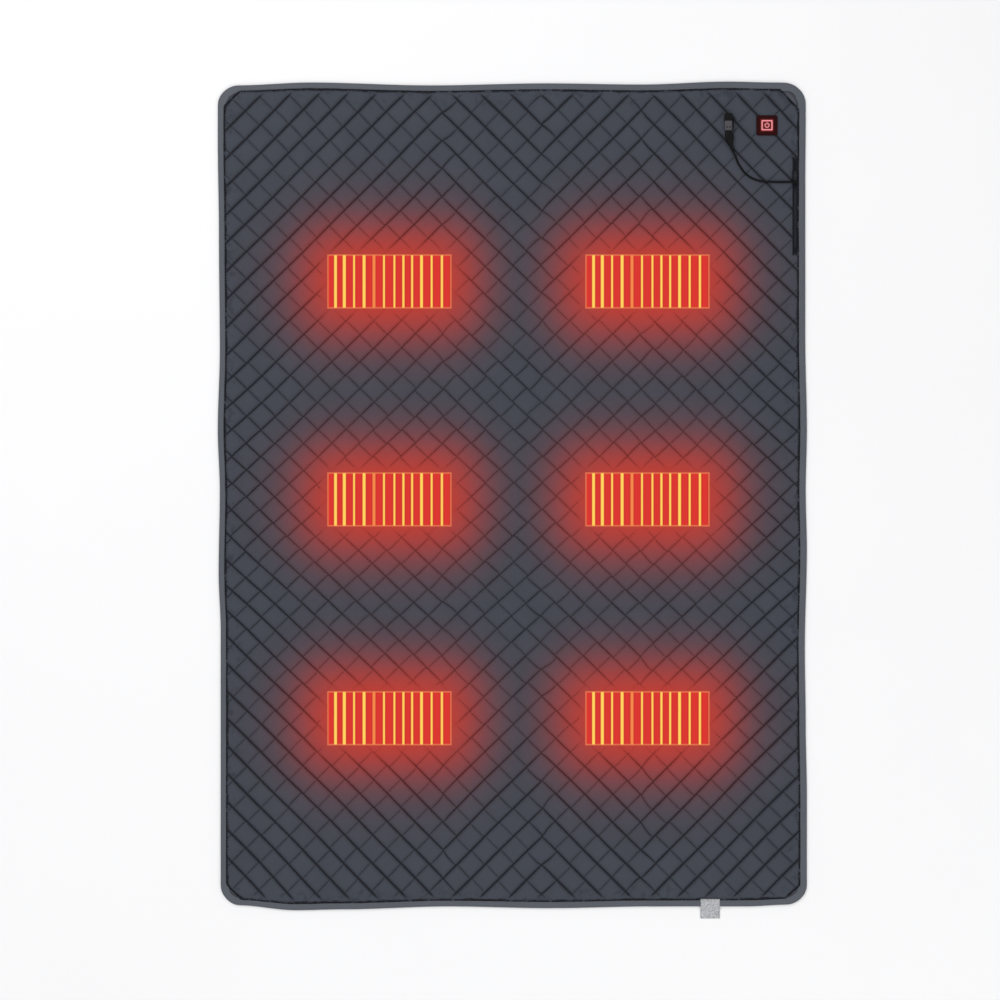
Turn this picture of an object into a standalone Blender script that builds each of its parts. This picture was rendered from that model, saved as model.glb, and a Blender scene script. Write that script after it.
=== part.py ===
"""USB heated throw: a quilted cloth panel with six heating pads, a power button, a zip pocket and a
short cord. Metres, +Z up. The panel lies flat with its underside on z = 0 and its controller at +Y.
The origin is the centre of the whole object's footprint, the care label included."""

import math

import bmesh
import bpy
from mathutils import Matrix, Vector

MM = 0.001
GAP = 0.3 * MM  # between pieces that touch on the real object

# Cloth panel
PANEL_WIDTH = 1.000
PANEL_LENGTH = 1.405
CORNER_RADIUS = 34 * MM
CORNER_STEPS = 6
BACK_THICK = 0.5 * MM
LINING_THICK = 0.4 * MM
WADDING_THICK = 3.4 * MM
RIM_WADDING_THICK = 0.5 * MM  # where the binding squeezes it
FACE_THICK = 0.5 * MM
HEATER_SPACE = 1.8 * MM  # between the back cover and the lining
RIM_STEP = 0.3 * MM
BINDING_WIDTH = 10.5 * MM
BINDING_THICK = 0.5 * MM
BINDING_ROUND = 1.0 * MM
SHELF_SLOPE = 4.0 * MM  # from the quilt's flat border up to its full thickness
FOLD_GAP = 0.5 * MM  # between the two halves

# Heating pads
PAD_WIDTH = 210 * MM
PAD_HEIGHT = 90 * MM
PAD_COLUMNS = {"left": -0.210, "right": 0.231}
PAD_ROWS = {"top": 0.3655, "middle": -0.007, "bottom": -0.381}
FILM_THICK = 0.4 * MM
GRID_THICK = 0.4 * MM
GRID_MARGIN = 3 * MM
BUSBAR_WIDTH = 5 * MM
STRIP_COUNT = 12
STRIP_PITCH = 16.5 * MM
STRIP_WIDTH = 6 * MM

# Harness, a flat two-core ribbon
RIBBON_WIDTH = 5 * MM
RIBBON_THICK = 1.2 * MM
TRUNK_OFFSET = 16 * MM  # from a pad's inner side to the trunk's centre
FEED_Y = 0.500
CROSSING_Y = 0.180
CONNECTOR_SIZE = (6 * MM, 4 * MM)

# Controller
CONTROLLER_FROM_SIDE = 65 * MM
CONTROLLER_FROM_TOP = 70.5 * MM
CONTROLLER_AT = (PANEL_WIDTH / 2 - CONTROLLER_FROM_SIDE, PANEL_LENGTH / 2 - CONTROLLER_FROM_TOP)
BEZEL_SIZE = (36 * MM, 34 * MM)
BEZEL_HEIGHT = 2.1 * MM
BEZEL_RADIUS = 3 * MM
BEZEL_CHAMFER = 0.6 * MM
WINDOW_SIZE = (24 * MM, 22.6 * MM)
WINDOW_RADIUS = 2 * MM
NECK_WALL = 1.7 * MM
BASE_SIZE = (40 * MM, 38 * MM)
BASE_FLOOR = 0.6 * MM
BASE_WALL = 1.0 * MM
BOARD_THICK = 1.0 * MM
BOARD_CLEARANCE = 1.0 * MM
SWITCH_SIZE = 6 * MM
SWITCH_HEIGHT = 2.2 * MM
SWITCH_HOLE_RADIUS = 1.9 * MM
SWITCH_HOLE_DEPTH = 1.4 * MM
PLUNGER_RADIUS = 1.5 * MM
PLUNGER_REACH = 1.2 * MM  # above the switch's body
BUTTON_TRAVEL = 0.5 * MM
BUTTON_TOP_WALL = 1.5 * MM
BUTTON_WALL = 1.0 * MM
BUTTON_SKIRT = 1.0 * MM
BUTTON_CHAMFER = 0.4 * MM
ICON_SIZE = (19 * MM, 17.6 * MM)
ICON_LINE = 2.2 * MM
ICON_POCKET_DEPTH = 0.6 * MM
ICON_THICK = 0.5 * MM
ICON_RING_RADIUS = 4.3 * MM
ICON_RING_LINE = 1.5 * MM
ICON_OPENING = math.radians(35)  # half of the ring's open angle
LED_SIZE = (3.0 * MM, 2.8 * MM, 1.0 * MM)
LED_OFFSET = 7.5 * MM

# Zip pocket
ZIP_WIDTH = 8.4 * MM
ZIP_LENGTH = 167 * MM
ZIP_FROM_BINDING = 1.7 * MM
ZIP_FROM_TOP = 124.5 * MM
ZIP_BORDER = 1.0 * MM  # flat quilt between the zip and the slope
TAPE_THICK = 0.4 * MM
TAPE_SPLIT = 1.0 * MM
COIL_WIDTH = 1.0 * MM
COIL_HEIGHT = 1.1 * MM
COIL_SPLIT = 0.8 * MM
STOP_LENGTH = 3 * MM
STOP_WIDTH = 3.2 * MM
SLIDER_ABOVE_CORD = 8.6 * MM
SLIDER_SIZE = (6.2 * MM, 9 * MM)
SLIDER_PLATE = 1.2 * MM
SLIDER_FOOT = 0.5 * MM
SLIDER_NECK = 0.4 * MM
LUG_THICK = 0.8 * MM
LUG_HEIGHT = 1.8 * MM
LUG_LENGTH = 2.6 * MM
TAB_WIDTH = 3.6 * MM
TAB_LENGTH = 11 * MM
TAB_THICK = 0.8 * MM
TAB_PIN_RADIUS = 0.5 * MM
POCKET_DEPTH = 108 * MM
POCKET_CLOTH = 0.4 * MM
POCKET_MARGIN = 6 * MM
LEAD_WIDTH = 5 * MM
LEAD_THICK = 0.8 * MM
LEAD_COVER = 0.2 * MM  # between the lead and the top of the wadding

# Cord and plug
CORD_DIAMETER = 3.5 * MM
CORD_SAMPLES = 20
CORD_FROM_ZIP_TOP = 42.6 * MM
CORD_EXIT_DROP = 0.95 * MM  # how far the cord comes down to enter the zip
GROMMET_INSET = 3.3 * MM  # from the zip's middle to the grommet's open end
GROMMET_LENGTH = 7 * MM
GROMMET_DEPTH = 7 * MM
GROMMET_RADIUS = 1.0 * MM
GROMMET_TIP_SIZE = (4.6 * MM, 4.4 * MM)
GROMMET_WIDEST = (1.5 * MM, 6.0 * MM)  # distance from the tip, and width there
PLUG_FROM_SIDE = 131 * MM
PLUG_FROM_TOP = 79.7 * MM
PLUG_HALF_WIDTH = 7.35 * MM
PLUG_HALF_HEIGHT = 3.7 * MM
PLUG_FACE_CHAMFER = (0.6 * MM, 0.4 * MM)
SHELL_WIDTH = 12.0 * MM
SHELL_HEIGHT = 4.5 * MM
SHELL_LENGTH = 18.2 * MM
SHELL_WALL = 0.3 * MM
TONGUE_WIDTH = 10.8 * MM
TONGUE_THICK = 1.8 * MM
TONGUE_SET_BACK = 0.5 * MM  # from the shell's mouth
CONTACT_THICK = 0.2 * MM
CONTACT_LENGTH = 7 * MM
CONTACT_SET_BACK = 1.5 * MM  # from the shell's mouth
CONTACT_COUNT = 4
CONTACT_PITCH = 2.2 * MM
CONTACT_WIDTH = 1.1 * MM
CAP_WALL = 1.1 * MM
CAP_LENGTH = 12.6 * MM
CAP_HELD = 2.0 * MM  # of the shell, still inside the cap
CAP_CHAMFER = 0.8 * MM
CAP_END_WALL = CAP_WALL + CAP_CHAMFER
TETHER_WIDTH = 2.0 * MM
TETHER_THICK = 1.2 * MM
TETHER_OVERLAP = 7 * MM  # how far it runs beside the cap

# Care label
LABEL_X = 0.3385
LABEL_WIDTH = 33 * MM
LABEL_OVERHANG = 25 * MM
LABEL_SEAM_INSET = 12.5 * MM
LABEL_THICK = 0.4 * MM
LABEL_BENDS = (4 * MM, 9 * MM, 14 * MM)  # beyond the edge: where it turns down, levels out and lands
LABEL_BEND_HEIGHT = 1.2 * MM  # at the middle bend

# Places that follow from the values above, with the panel's centre at (0, 0)
ZIP_INSET = BINDING_WIDTH + ZIP_FROM_BINDING + ZIP_WIDTH / 2  # from the panel's side to the zip's middle
SHELF_WIDTH = ZIP_INSET + ZIP_WIDTH / 2 + ZIP_BORDER  # the flat border of the quilt
ZIP_X = PANEL_WIDTH / 2 - ZIP_INSET
ZIP_TOP_Y = PANEL_LENGTH / 2 - ZIP_FROM_TOP
CORD_Y = ZIP_TOP_Y - CORD_FROM_ZIP_TOP
SLIDER_Y = CORD_Y + SLIDER_ABOVE_CORD
GROMMET_X = ZIP_X - GROMMET_INSET
PLUG_X = PANEL_WIDTH / 2 - PLUG_FROM_SIDE
PLUG_FACE_Y = PANEL_LENGTH / 2 - PLUG_FROM_TOP
CLOTH_Y = LABEL_OVERHANG / 2

# Heights that follow from the values above
BACK_TOP = BACK_THICK
LINING_Z = BACK_TOP + HEATER_SPACE
LINING_TOP = LINING_Z + LINING_THICK
WADDING_Z = LINING_TOP + GAP
WADDING_TOP = WADDING_Z + WADDING_THICK
FACE_Z = WADDING_TOP + GAP
FACE_TOP = FACE_Z + FACE_THICK
RIM_BACK_Z = BINDING_THICK + RIM_STEP
RIM_LINING_Z = RIM_BACK_Z + BACK_THICK + RIM_STEP
RIM_WADDING_Z = RIM_LINING_Z + LINING_THICK + RIM_STEP
RIM_FACE_Z = RIM_WADDING_Z + RIM_WADDING_THICK + RIM_STEP
RIM_FACE_TOP = RIM_FACE_Z + FACE_THICK
BINDING_TOP = RIM_FACE_TOP + RIM_STEP + BINDING_THICK
CORD_Z = FACE_TOP + GAP + CORD_DIAMETER / 2
PLUG_Z = FACE_TOP + GAP + PLUG_HALF_HEIGHT

HEATER_Z = BACK_TOP + GAP
GRID_Z = HEATER_Z + FILM_THICK + GAP
TAPE_Z = RIM_FACE_Z
COIL_Z = TAPE_Z + TAPE_THICK + GAP
COIL_TOP = COIL_Z + COIL_HEIGHT
SLIDER_Z = COIL_TOP + GAP
SLIDER_TOP = SLIDER_Z + SLIDER_PLATE
TAB_Z = SLIDER_TOP + GAP + TAB_PIN_RADIUS
LEAD_Z = WADDING_TOP - LEAD_COVER - LEAD_THICK
POCKET_Z = LEAD_Z - GAP - POCKET_CLOTH
POCKET_BED_TOP = POCKET_Z - GAP  # the wadding left under the pocket
BASE_TOP = FACE_Z - GAP
BOARD_Z = WADDING_Z + BASE_FLOOR + GAP
BOARD_TOP = BOARD_Z + BOARD_THICK
SWITCH_Z = BOARD_TOP + GAP
SWITCH_TOP = SWITCH_Z + SWITCH_HEIGHT
BUTTON_CEILING = SWITCH_TOP + PLUNGER_REACH + GAP
BUTTON_TOP = BUTTON_CEILING + BUTTON_TOP_WALL
BEZEL_Z = FACE_TOP + GAP

# The folded half clears the plug and the upright pull tab
FOLD_REACH = max(PLUG_Z + PLUG_HALF_HEIGHT, TAB_Z + TAB_LENGTH)
FOLD_Z = (FOLD_REACH + FACE_TOP) / 2 + 2 * GAP

# The overmould's tail: distance behind the plug's face, sideways shift, half width, half height and
# how much of the way down from the plug's height to the cord's
PLUG_TAIL = [
    (9.0 * MM, 0.0 * MM, PLUG_HALF_WIDTH, PLUG_HALF_HEIGHT, 0.0),
    (14.0 * MM, 0.6 * MM, 6.6 * MM, 3.5 * MM, 0.0),
    (20.0 * MM, 1.8 * MM, 5.0 * MM, 3.0 * MM, 0.3),
    (26.0 * MM, 3.7 * MM, 3.4 * MM, 2.5 * MM, 0.6),
    (32.0 * MM, 6.3 * MM, 2.5 * MM, 2.2 * MM, 0.85),
    (38.2 * MM, 9.4 * MM, 2.1 * MM, 1.95 * MM, 1.0),
]

# The cord's route on the quilt, from the plug's tail to the zip: distances from the panel's side and
# from its top
CORD_ROUTE = [
    (121.4 * MM, 118.3 * MM),
    (118.2 * MM, 125.0 * MM),
    (115.0 * MM, 133.7 * MM),
    (109.5 * MM, 142.9 * MM),
    (103.0 * MM, 151.5 * MM),
    (93.1 * MM, 159.3 * MM),
    (81.1 * MM, 164.2 * MM),
    (70.2 * MM, 166.4 * MM),
    (48.5 * MM, ZIP_FROM_TOP + CORD_FROM_ZIP_TOP),
    (35.0 * MM, ZIP_FROM_TOP + CORD_FROM_ZIP_TOP),
]


# Scene helpers


def clear_scene():
    for obj in list(bpy.data.objects):
        bpy.data.objects.remove(obj, do_unlink=True)


def make_material(name, colour, roughness, metallic=0.0):
    material = bpy.data.materials.new(name)
    material.use_nodes = True
    shader = material.node_tree.nodes["Principled BSDF"]
    shader.inputs["Base Color"].default_value = (*colour, 1.0)
    shader.inputs["Roughness"].default_value = roughness
    shader.inputs["Metallic"].default_value = metallic
    material.diffuse_color = (*colour, 1.0)
    return material


def make_empty(name, place, parent=None):
    empty = bpy.data.objects.new(name, None)
    bpy.context.scene.collection.objects.link(empty)
    empty.location = Vector(place) - (world_place(parent) if parent else Vector())
    empty.parent = parent
    return empty


def world_place(empty):
    """An empty's place in panel coordinates: the empties have no rotation."""
    place = Vector(empty.location)
    while empty.parent:
        empty = empty.parent
        place += empty.location
    return place - Vector((0, CLOTH_Y, 0))


def add(name, bm, material, parent):
    """Turns a bmesh in panel coordinates into an object whose origin is its parent empty."""
    bmesh.ops.recalc_face_normals(bm, faces=bm.faces)
    bmesh.ops.translate(bm, verts=bm.verts, vec=-world_place(parent))
    mesh = bpy.data.meshes.new(name)
    bm.to_mesh(mesh)
    bm.free()
    obj = bpy.data.objects.new(name, mesh)
    bpy.context.scene.collection.objects.link(obj)
    obj.parent = parent
    if material:
        mesh.materials.append(material)
    return obj


def cut(obj, cutter):
    cutter.hide_render = True
    cutter.display_type = "WIRE"
    modifier = obj.modifiers.new("cut_" + cutter.name, "BOOLEAN")
    modifier.operation = "DIFFERENCE"
    modifier.solver = "EXACT"
    modifier.object = cutter


# Shape helpers


def box_mesh(low, high):
    bm = bmesh.new()
    size = Vector(high) - Vector(low)
    middle = (Vector(high) + Vector(low)) / 2
    matrix = Matrix.Translation(middle) @ Matrix.Diagonal((*size, 1.0))
    bmesh.ops.create_cube(bm, size=1.0, matrix=matrix)
    return bm


def rounded_outline(half_x, half_y, radius, steps=CORNER_STEPS):
    """Points of a rounded rectangle about the origin, anticlockwise."""
    corners = ((1, 1, 0), (-1, 1, 90), (-1, -1, 180), (1, -1, 270))
    points = []
    for sign_x, sign_y, start in corners:
        for i in range(steps + 1):
            angle = math.radians(start + 90 * i / steps)
            x = sign_x * (half_x - radius) + radius * math.cos(angle)
            y = sign_y * (half_y - radius) + radius * math.sin(angle)
            points.append((x, y))
    return points


def flat_ring(centre, half_x, half_y, radius, z, steps=3):
    outline = rounded_outline(half_x, half_y, radius, steps)
    return [Vector((centre[0] + x, centre[1] + y, z)) for x, y in outline]


def facing_ring(centre, forward, half_width, half_height, radius, steps=3):
    """A rounded rectangle across a direction: its width is level and its height leans with it."""
    forward = Vector(forward).normalized()
    side = forward.cross(Vector((0, 0, 1))).normalized()
    up = side.cross(forward)
    outline = rounded_outline(half_width, half_height, radius, steps)
    return [Vector(centre) + side * x + up * y for x, y in outline]


def loft(rings, closed=False):
    """Skins rings of equal length. An open loft is capped at both ends."""
    bm = bmesh.new()
    loops = [[bm.verts.new(point) for point in ring] for ring in rings]
    count = len(loops[0])
    pairs = list(zip(loops, loops[1:]))
    if closed:
        pairs.append((loops[-1], loops[0]))
    for lower, upper in pairs:
        for i in range(count):
            j = (i + 1) % count
            bm.faces.new((lower[i], lower[j], upper[j], upper[i]))
    if not closed:
        bm.faces.new(loops[0])
        bm.faces.new(loops[-1])
    return bm


def extrude_outline(points, vector):
    """A prism whose base is the polygon through points."""
    bm = bmesh.new()
    face = bm.faces.new([bm.verts.new(point) for point in points])
    found = bmesh.ops.extrude_face_region(bm, geom=[face], use_keep_orig=True)
    verts = [item for item in found["geom"] if isinstance(item, bmesh.types.BMVert)]
    bmesh.ops.translate(bm, verts=verts, vec=vector)
    return bm


def plate(points, z, thick):
    return extrude_outline([(x, y, z) for x, y in points], (0, 0, thick))


def cylinder_mesh(centre, radius, axis, length, segments=16):
    bm = bmesh.new()
    turn = Vector((0, 0, 1)).rotation_difference(Vector(axis)).to_matrix().to_4x4()
    matrix = Matrix.Translation(centre) @ turn
    bmesh.ops.create_cone(bm, cap_ends=True, segments=segments, radius1=radius, radius2=radius,
                          depth=length, matrix=matrix)
    return bm


def join_union(obj, other):
    """Adds other's shape to obj and hides other."""
    other.hide_render = True
    other.display_type = "WIRE"
    modifier = obj.modifiers.new("join_" + other.name, "BOOLEAN")
    modifier.operation = "UNION"
    modifier.solver = "EXACT"
    modifier.object = other


# Cloth layers


def half_outline(side, inset):
    """The panel's outline on one side of the fold, from the fold's lower end round to its upper end."""
    sign = 1 if side == "right" else -1
    half_x = PANEL_WIDTH / 2 - inset
    half_y = PANEL_LENGTH / 2 - inset
    radius = max(CORNER_RADIUS - inset, 4 * MM)
    turns = rounded_outline(half_x, half_y, radius)
    quarter = CORNER_STEPS + 1
    arcs = turns[3 * quarter:] + turns[:quarter]
    fold = FOLD_GAP / 2
    return [(sign * x, y) for x, y in [(fold, -half_y), *arcs, (fold, half_y)]]


def half_panel_mesh(side, profile, hollow):
    """Carries a profile of (inset, height) points round half of the panel. The profile's second half
    runs back over its first, so that each end closes with a strip of faces. A profile that isn't
    hollow also closes across the middle of the panel."""
    bm = bmesh.new()
    rings = [[bm.verts.new((x, y, z)) for x, y in half_outline(side, inset)] for inset, z in profile]
    pairs = list(zip(rings, rings[1:]))
    if hollow:
        pairs.append((rings[-1], rings[0]))
    for lower, upper in pairs:
        for i in range(len(lower) - 1):
            bm.faces.new((lower[i], lower[i + 1], upper[i + 1], upper[i]))
    last = len(rings) - 1
    for end in (0, -1):
        for k in range(len(rings) // 2 - 1):
            corners = (k, k + 1, last - k - 1, last - k)
            bm.faces.new([rings[corner][end] for corner in corners])
    if not hollow:
        bm.faces.new(rings[0])
        bm.faces.new(rings[-1])
        bm.faces.new((rings[0][0], rings[-1][0], rings[-1][-1], rings[0][-1]))
    return bm


def layer_profile(rim, middle, thick, rim_thick, turn_in, turn_out):
    """A cloth layer: its rim lies at one height and its middle at another, with a slope between the
    insets turn_out and turn_in."""
    edge = BINDING_THICK + RIM_STEP
    lower = [(turn_in, middle), (turn_out, rim), (edge, rim)]
    upper = [(edge, rim + rim_thick), (turn_out, rim + rim_thick), (turn_in, middle + thick)]
    return lower + upper


def binding_profile():
    """The edge tape, folded round the layers as a C."""
    top = BINDING_TOP
    wall = BINDING_THICK
    turn = BINDING_ROUND
    outer = [(BINDING_WIDTH, 0), (turn, 0), (0, turn), (0, top - turn), (turn, top), (BINDING_WIDTH, top)]
    inner = [(BINDING_WIDTH, top - wall), (turn, top - wall), (wall, top - turn), (wall, turn),
             (turn, wall), (BINDING_WIDTH, wall)]
    return outer + inner


def make_halves(name, profile, material, parents, hollow=False):
    halves = {}
    for side in ("left", "right"):
        mesh = half_panel_mesh(side, profile, hollow)
        halves[side] = add(f"{name}_{side}", mesh, material, parents[side])
    return halves


def make_cloth(materials, parents):
    """Makes the layers from the underside up. Returns the right halves that other pieces cut into."""
    turn_in, turn_out = SHELF_WIDTH + SHELF_SLOPE, SHELF_WIDTH
    back_out = BINDING_WIDTH + RIM_STEP
    back = layer_profile(RIM_BACK_Z, 0, BACK_THICK, BACK_THICK, back_out + RIM_BACK_Z, back_out)
    make_halves("back_cover", back, materials["back"], parents)
    lining = layer_profile(RIM_LINING_Z, LINING_Z, LINING_THICK, LINING_THICK, turn_in, turn_out)
    linings = make_halves("lining", lining, materials["lining"], parents)
    wadding = layer_profile(RIM_WADDING_Z, WADDING_Z, WADDING_THICK, RIM_WADDING_THICK, turn_in, turn_out)
    waddings = make_halves("wadding", wadding, materials["wadding"], parents)
    face = layer_profile(RIM_FACE_Z, FACE_Z, FACE_THICK, FACE_THICK, turn_in, turn_out)
    faces = make_halves("face_cover", face, materials["face"], parents)
    make_halves("edge_binding", binding_profile(), materials["binding"], parents, hollow=True)
    return linings["right"], waddings["right"], faces["right"]


# Heating pads and harness


def make_film(name, centre, material, parent):
    ring = [flat_ring(centre, PAD_WIDTH / 2, PAD_HEIGHT / 2, 3 * MM, z, 2)
            for z in (HEATER_Z, HEATER_Z + FILM_THICK)]
    return add(name, loft(ring), material, parent)


def strip_edges(centre_x):
    """The left and right side of each carbon strip."""
    first = centre_x - STRIP_PITCH * (STRIP_COUNT - 1) / 2
    for i in range(STRIP_COUNT):
        middle = first + i * STRIP_PITCH
        yield middle - STRIP_WIDTH / 2, middle + STRIP_WIDTH / 2


def make_grid(name, centre, material, parent):
    """Two busbars joined by upright carbon strips, cut as one flat ladder."""
    x, y = centre
    half_x = PAD_WIDTH / 2 - GRID_MARGIN
    outer = PAD_HEIGHT / 2 - GRID_MARGIN
    inner = outer - BUSBAR_WIDTH
    edges = [edge for pair in strip_edges(x) for edge in pair]
    bm = bmesh.new()
    upper = [bm.verts.new((edge, y + inner, GRID_Z)) for edge in edges]
    lower = [bm.verts.new((edge, y - inner, GRID_Z)) for edge in edges]
    for row, sign in ((upper, 1), (lower, -1)):
        corners = [(x + half_x, y + sign * inner), (x + half_x, y + sign * outer),
                   (x - half_x, y + sign * outer), (x - half_x, y + sign * inner)]
        ends = [bm.verts.new((*corner, GRID_Z)) for corner in corners]
        bm.faces.new(row + ends)
    for i in range(0, len(edges), 2):
        bm.faces.new((lower[i], lower[i + 1], upper[i + 1], upper[i]))
    bmesh.ops.recalc_face_normals(bm, faces=bm.faces)
    found = bmesh.ops.extrude_face_region(bm, geom=list(bm.faces), use_keep_orig=True)
    verts = [item for item in found["geom"] if isinstance(item, bmesh.types.BMVert)]
    bmesh.ops.translate(bm, verts=verts, vec=(0, 0, GRID_THICK))
    return add(name, bm, material, parent)


def make_pads(materials, parents):
    for side, x in PAD_COLUMNS.items():
        for row, y in PAD_ROWS.items():
            make_film(f"pad_film_{side}_{row}", (x, y), materials["film"], parents[side])
            make_grid(f"carbon_grid_{side}_{row}", (x, y), materials["carbon"], parents[side])


def trunk_outline(side):
    """The ribbon's outline, from the fold or the controller down past each pad and back up."""
    right = side == "right"
    pad_side = PAD_COLUMNS[side] + (-1 if right else 1) * PAD_WIDTH / 2
    toward = 1 if right else -1
    trunk = pad_side - toward * TRUNK_OFFSET
    half = RIBBON_WIDTH / 2
    tip = pad_side - toward * GAP
    near, far = trunk + toward * half, trunk - toward * half
    points = []
    rows = list(PAD_ROWS.values())
    for y in rows:
        bottom = y - half
        points += [(near, y + half), (tip, y + half), (tip, bottom), (near, bottom)]
    points[-1] = (far, rows[-1] - half)
    stub = toward * FOLD_GAP / 2
    points += [(far, CROSSING_Y - half), (stub, CROSSING_Y - half), (stub, CROSSING_Y + half)]
    points.append((far, CROSSING_Y + half))
    return points, near, far


def make_harness(materials, parents):
    half = RIBBON_WIDTH / 2
    left, _, far = trunk_outline("left")
    left.append((far, PAD_ROWS["top"] + half))
    add("harness_left", plate(left, HEATER_Z, RIBBON_THICK), materials["ribbon"], parents["left"])
    right, near, far = trunk_outline("right")
    x, y = CONTROLLER_AT
    right += [(far, FEED_Y + half), (x - half, FEED_Y + half), (x - half, y + half),
              (x + half, y + half), (x + half, FEED_Y - half), (near, FEED_Y - half)]
    add("harness_right", plate(right, HEATER_Z, RIBBON_THICK), materials["ribbon"], parents["right"])


# Controller


def centred_box(centre, size, low, high):
    x, y = centre
    half_x, half_y = size[0] / 2, size[1] / 2
    return box_mesh((x - half_x, y - half_y, low), (x + half_x, y + half_y, high))


def bezel_ring(size, grow, radius, z):
    half_x = size[0] / 2 + grow
    half_y = size[1] / 2 + grow
    return flat_ring(CONTROLLER_AT, half_x, half_y, radius, z)


def make_bezel(material, parent):
    neck_bottom = BOARD_TOP + GAP
    top = BEZEL_Z + BEZEL_HEIGHT
    edge = BEZEL_CHAMFER
    rings = [
        bezel_ring(WINDOW_SIZE, NECK_WALL, WINDOW_RADIUS + NECK_WALL, neck_bottom),
        bezel_ring(WINDOW_SIZE, NECK_WALL, WINDOW_RADIUS + NECK_WALL, BEZEL_Z),
        bezel_ring(BEZEL_SIZE, 0, BEZEL_RADIUS, BEZEL_Z),
        bezel_ring(BEZEL_SIZE, 0, BEZEL_RADIUS, top - edge),
        bezel_ring(BEZEL_SIZE, -edge, BEZEL_RADIUS - edge, top),
        bezel_ring(WINDOW_SIZE, 0, WINDOW_RADIUS, top),
        bezel_ring(WINDOW_SIZE, 0, WINDOW_RADIUS, neck_bottom),
    ]
    return add("controller_bezel", loft(rings, closed=True), material, parent)


def make_base(material, parent):
    floor = WADDING_Z + BASE_FLOOR
    rings = [
        bezel_ring(BASE_SIZE, 0, BEZEL_RADIUS, WADDING_Z),
        bezel_ring(BASE_SIZE, 0, BEZEL_RADIUS, BASE_TOP),
        bezel_ring(BASE_SIZE, -BASE_WALL, BEZEL_RADIUS - BASE_WALL, BASE_TOP),
        bezel_ring(BASE_SIZE, -BASE_WALL, BEZEL_RADIUS - BASE_WALL, floor),
    ]
    base = add("controller_base", loft(rings), material, parent)
    size = [side + 2 * GAP for side in CONNECTOR_SIZE]
    hole = centred_box(CONTROLLER_AT, size, WADDING_Z - MM, floor + MM)
    cut(base, add("base_wire_hole", hole, None, parent))
    return base


def make_button(materials, parent):
    bottom = BUTTON_CEILING - BUTTON_SKIRT
    pocket = BUTTON_TOP - ICON_POCKET_DEPTH
    edge = BUTTON_CHAMFER
    rings = [
        bezel_ring(WINDOW_SIZE, -GAP - BUTTON_WALL, WINDOW_RADIUS - BUTTON_WALL, BUTTON_CEILING),
        bezel_ring(WINDOW_SIZE, -GAP - BUTTON_WALL, WINDOW_RADIUS - BUTTON_WALL, bottom),
        bezel_ring(WINDOW_SIZE, -GAP, WINDOW_RADIUS - GAP, bottom),
        bezel_ring(WINDOW_SIZE, -GAP, WINDOW_RADIUS - GAP, BUTTON_TOP - edge),
        bezel_ring(WINDOW_SIZE, -GAP - edge, WINDOW_RADIUS - GAP - edge, BUTTON_TOP),
        bezel_ring(ICON_SIZE, GAP, WINDOW_RADIUS - GAP, BUTTON_TOP),
        bezel_ring(ICON_SIZE, GAP, WINDOW_RADIUS - GAP, pocket),
    ]
    add("power_button", loft(rings), materials["button"], parent)
    low = pocket + GAP / 2
    high = low + ICON_THICK
    frame = [
        bezel_ring(ICON_SIZE, 0, WINDOW_RADIUS - GAP, low),
        bezel_ring(ICON_SIZE, 0, WINDOW_RADIUS - GAP, high),
        bezel_ring(ICON_SIZE, -ICON_LINE, WINDOW_RADIUS / 2, high),
        bezel_ring(ICON_SIZE, -ICON_LINE, WINDOW_RADIUS / 2, low),
    ]
    add("icon_frame", loft(frame, closed=True), materials["icon"], parent)
    add("icon_ring", icon_ring_mesh(low), materials["icon"], parent)
    x, y = CONTROLLER_AT
    half = ICON_RING_LINE / 2
    bar = box_mesh((x - half, y + MM, low), (x + half, y + ICON_RING_RADIUS + half, high))
    add("icon_bar", bar, materials["icon"], parent)


def icon_ring_mesh(z):
    """The round part of the power symbol, open at its top."""
    steps = 20
    start = math.pi / 2 + ICON_OPENING
    sweep = 2 * math.pi - 2 * ICON_OPENING
    outline = []
    for radius, order in ((ICON_RING_RADIUS, 1), (ICON_RING_RADIUS - ICON_RING_LINE, -1)):
        angles = [start + sweep * i / steps for i in range(steps + 1)][::order]
        outline += [(CONTROLLER_AT[0] + radius * math.cos(a), CONTROLLER_AT[1] + radius * math.sin(a))
                    for a in angles]
    return plate(outline, z, ICON_THICK)


def circle_ring(centre, radius, z, segments=16):
    angles = [2 * math.pi * i / segments for i in range(segments)]
    return [Vector((centre[0] + radius * math.cos(a), centre[1] + radius * math.sin(a), z)) for a in angles]


def square_ring(centre, half, z, segments=16):
    """A square drawn with as many points as a circle of the same segments, to loft between them."""
    points = []
    for i in range(segments):
        angle = 2 * math.pi * i / segments
        reach = half / max(abs(math.cos(angle)), abs(math.sin(angle)))
        points.append(Vector((centre[0] + reach * math.cos(angle), centre[1] + reach * math.sin(angle), z)))
    return points


def make_switch(materials, parent, button_parent):
    hole_floor = SWITCH_TOP - SWITCH_HOLE_DEPTH
    rings = [
        square_ring(CONTROLLER_AT, SWITCH_SIZE / 2, SWITCH_Z),
        square_ring(CONTROLLER_AT, SWITCH_SIZE / 2, SWITCH_TOP),
        circle_ring(CONTROLLER_AT, SWITCH_HOLE_RADIUS, SWITCH_TOP),
        circle_ring(CONTROLLER_AT, SWITCH_HOLE_RADIUS, hole_floor),
    ]
    add("tact_switch", loft(rings), materials["switch"], parent)
    bottom = hole_floor + GAP + BUTTON_TRAVEL
    top = SWITCH_TOP + PLUNGER_REACH
    rings = [circle_ring(CONTROLLER_AT, PLUNGER_RADIUS, z) for z in (bottom, top)]
    add("switch_plunger", loft(rings), materials["switch"], button_parent)


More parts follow.
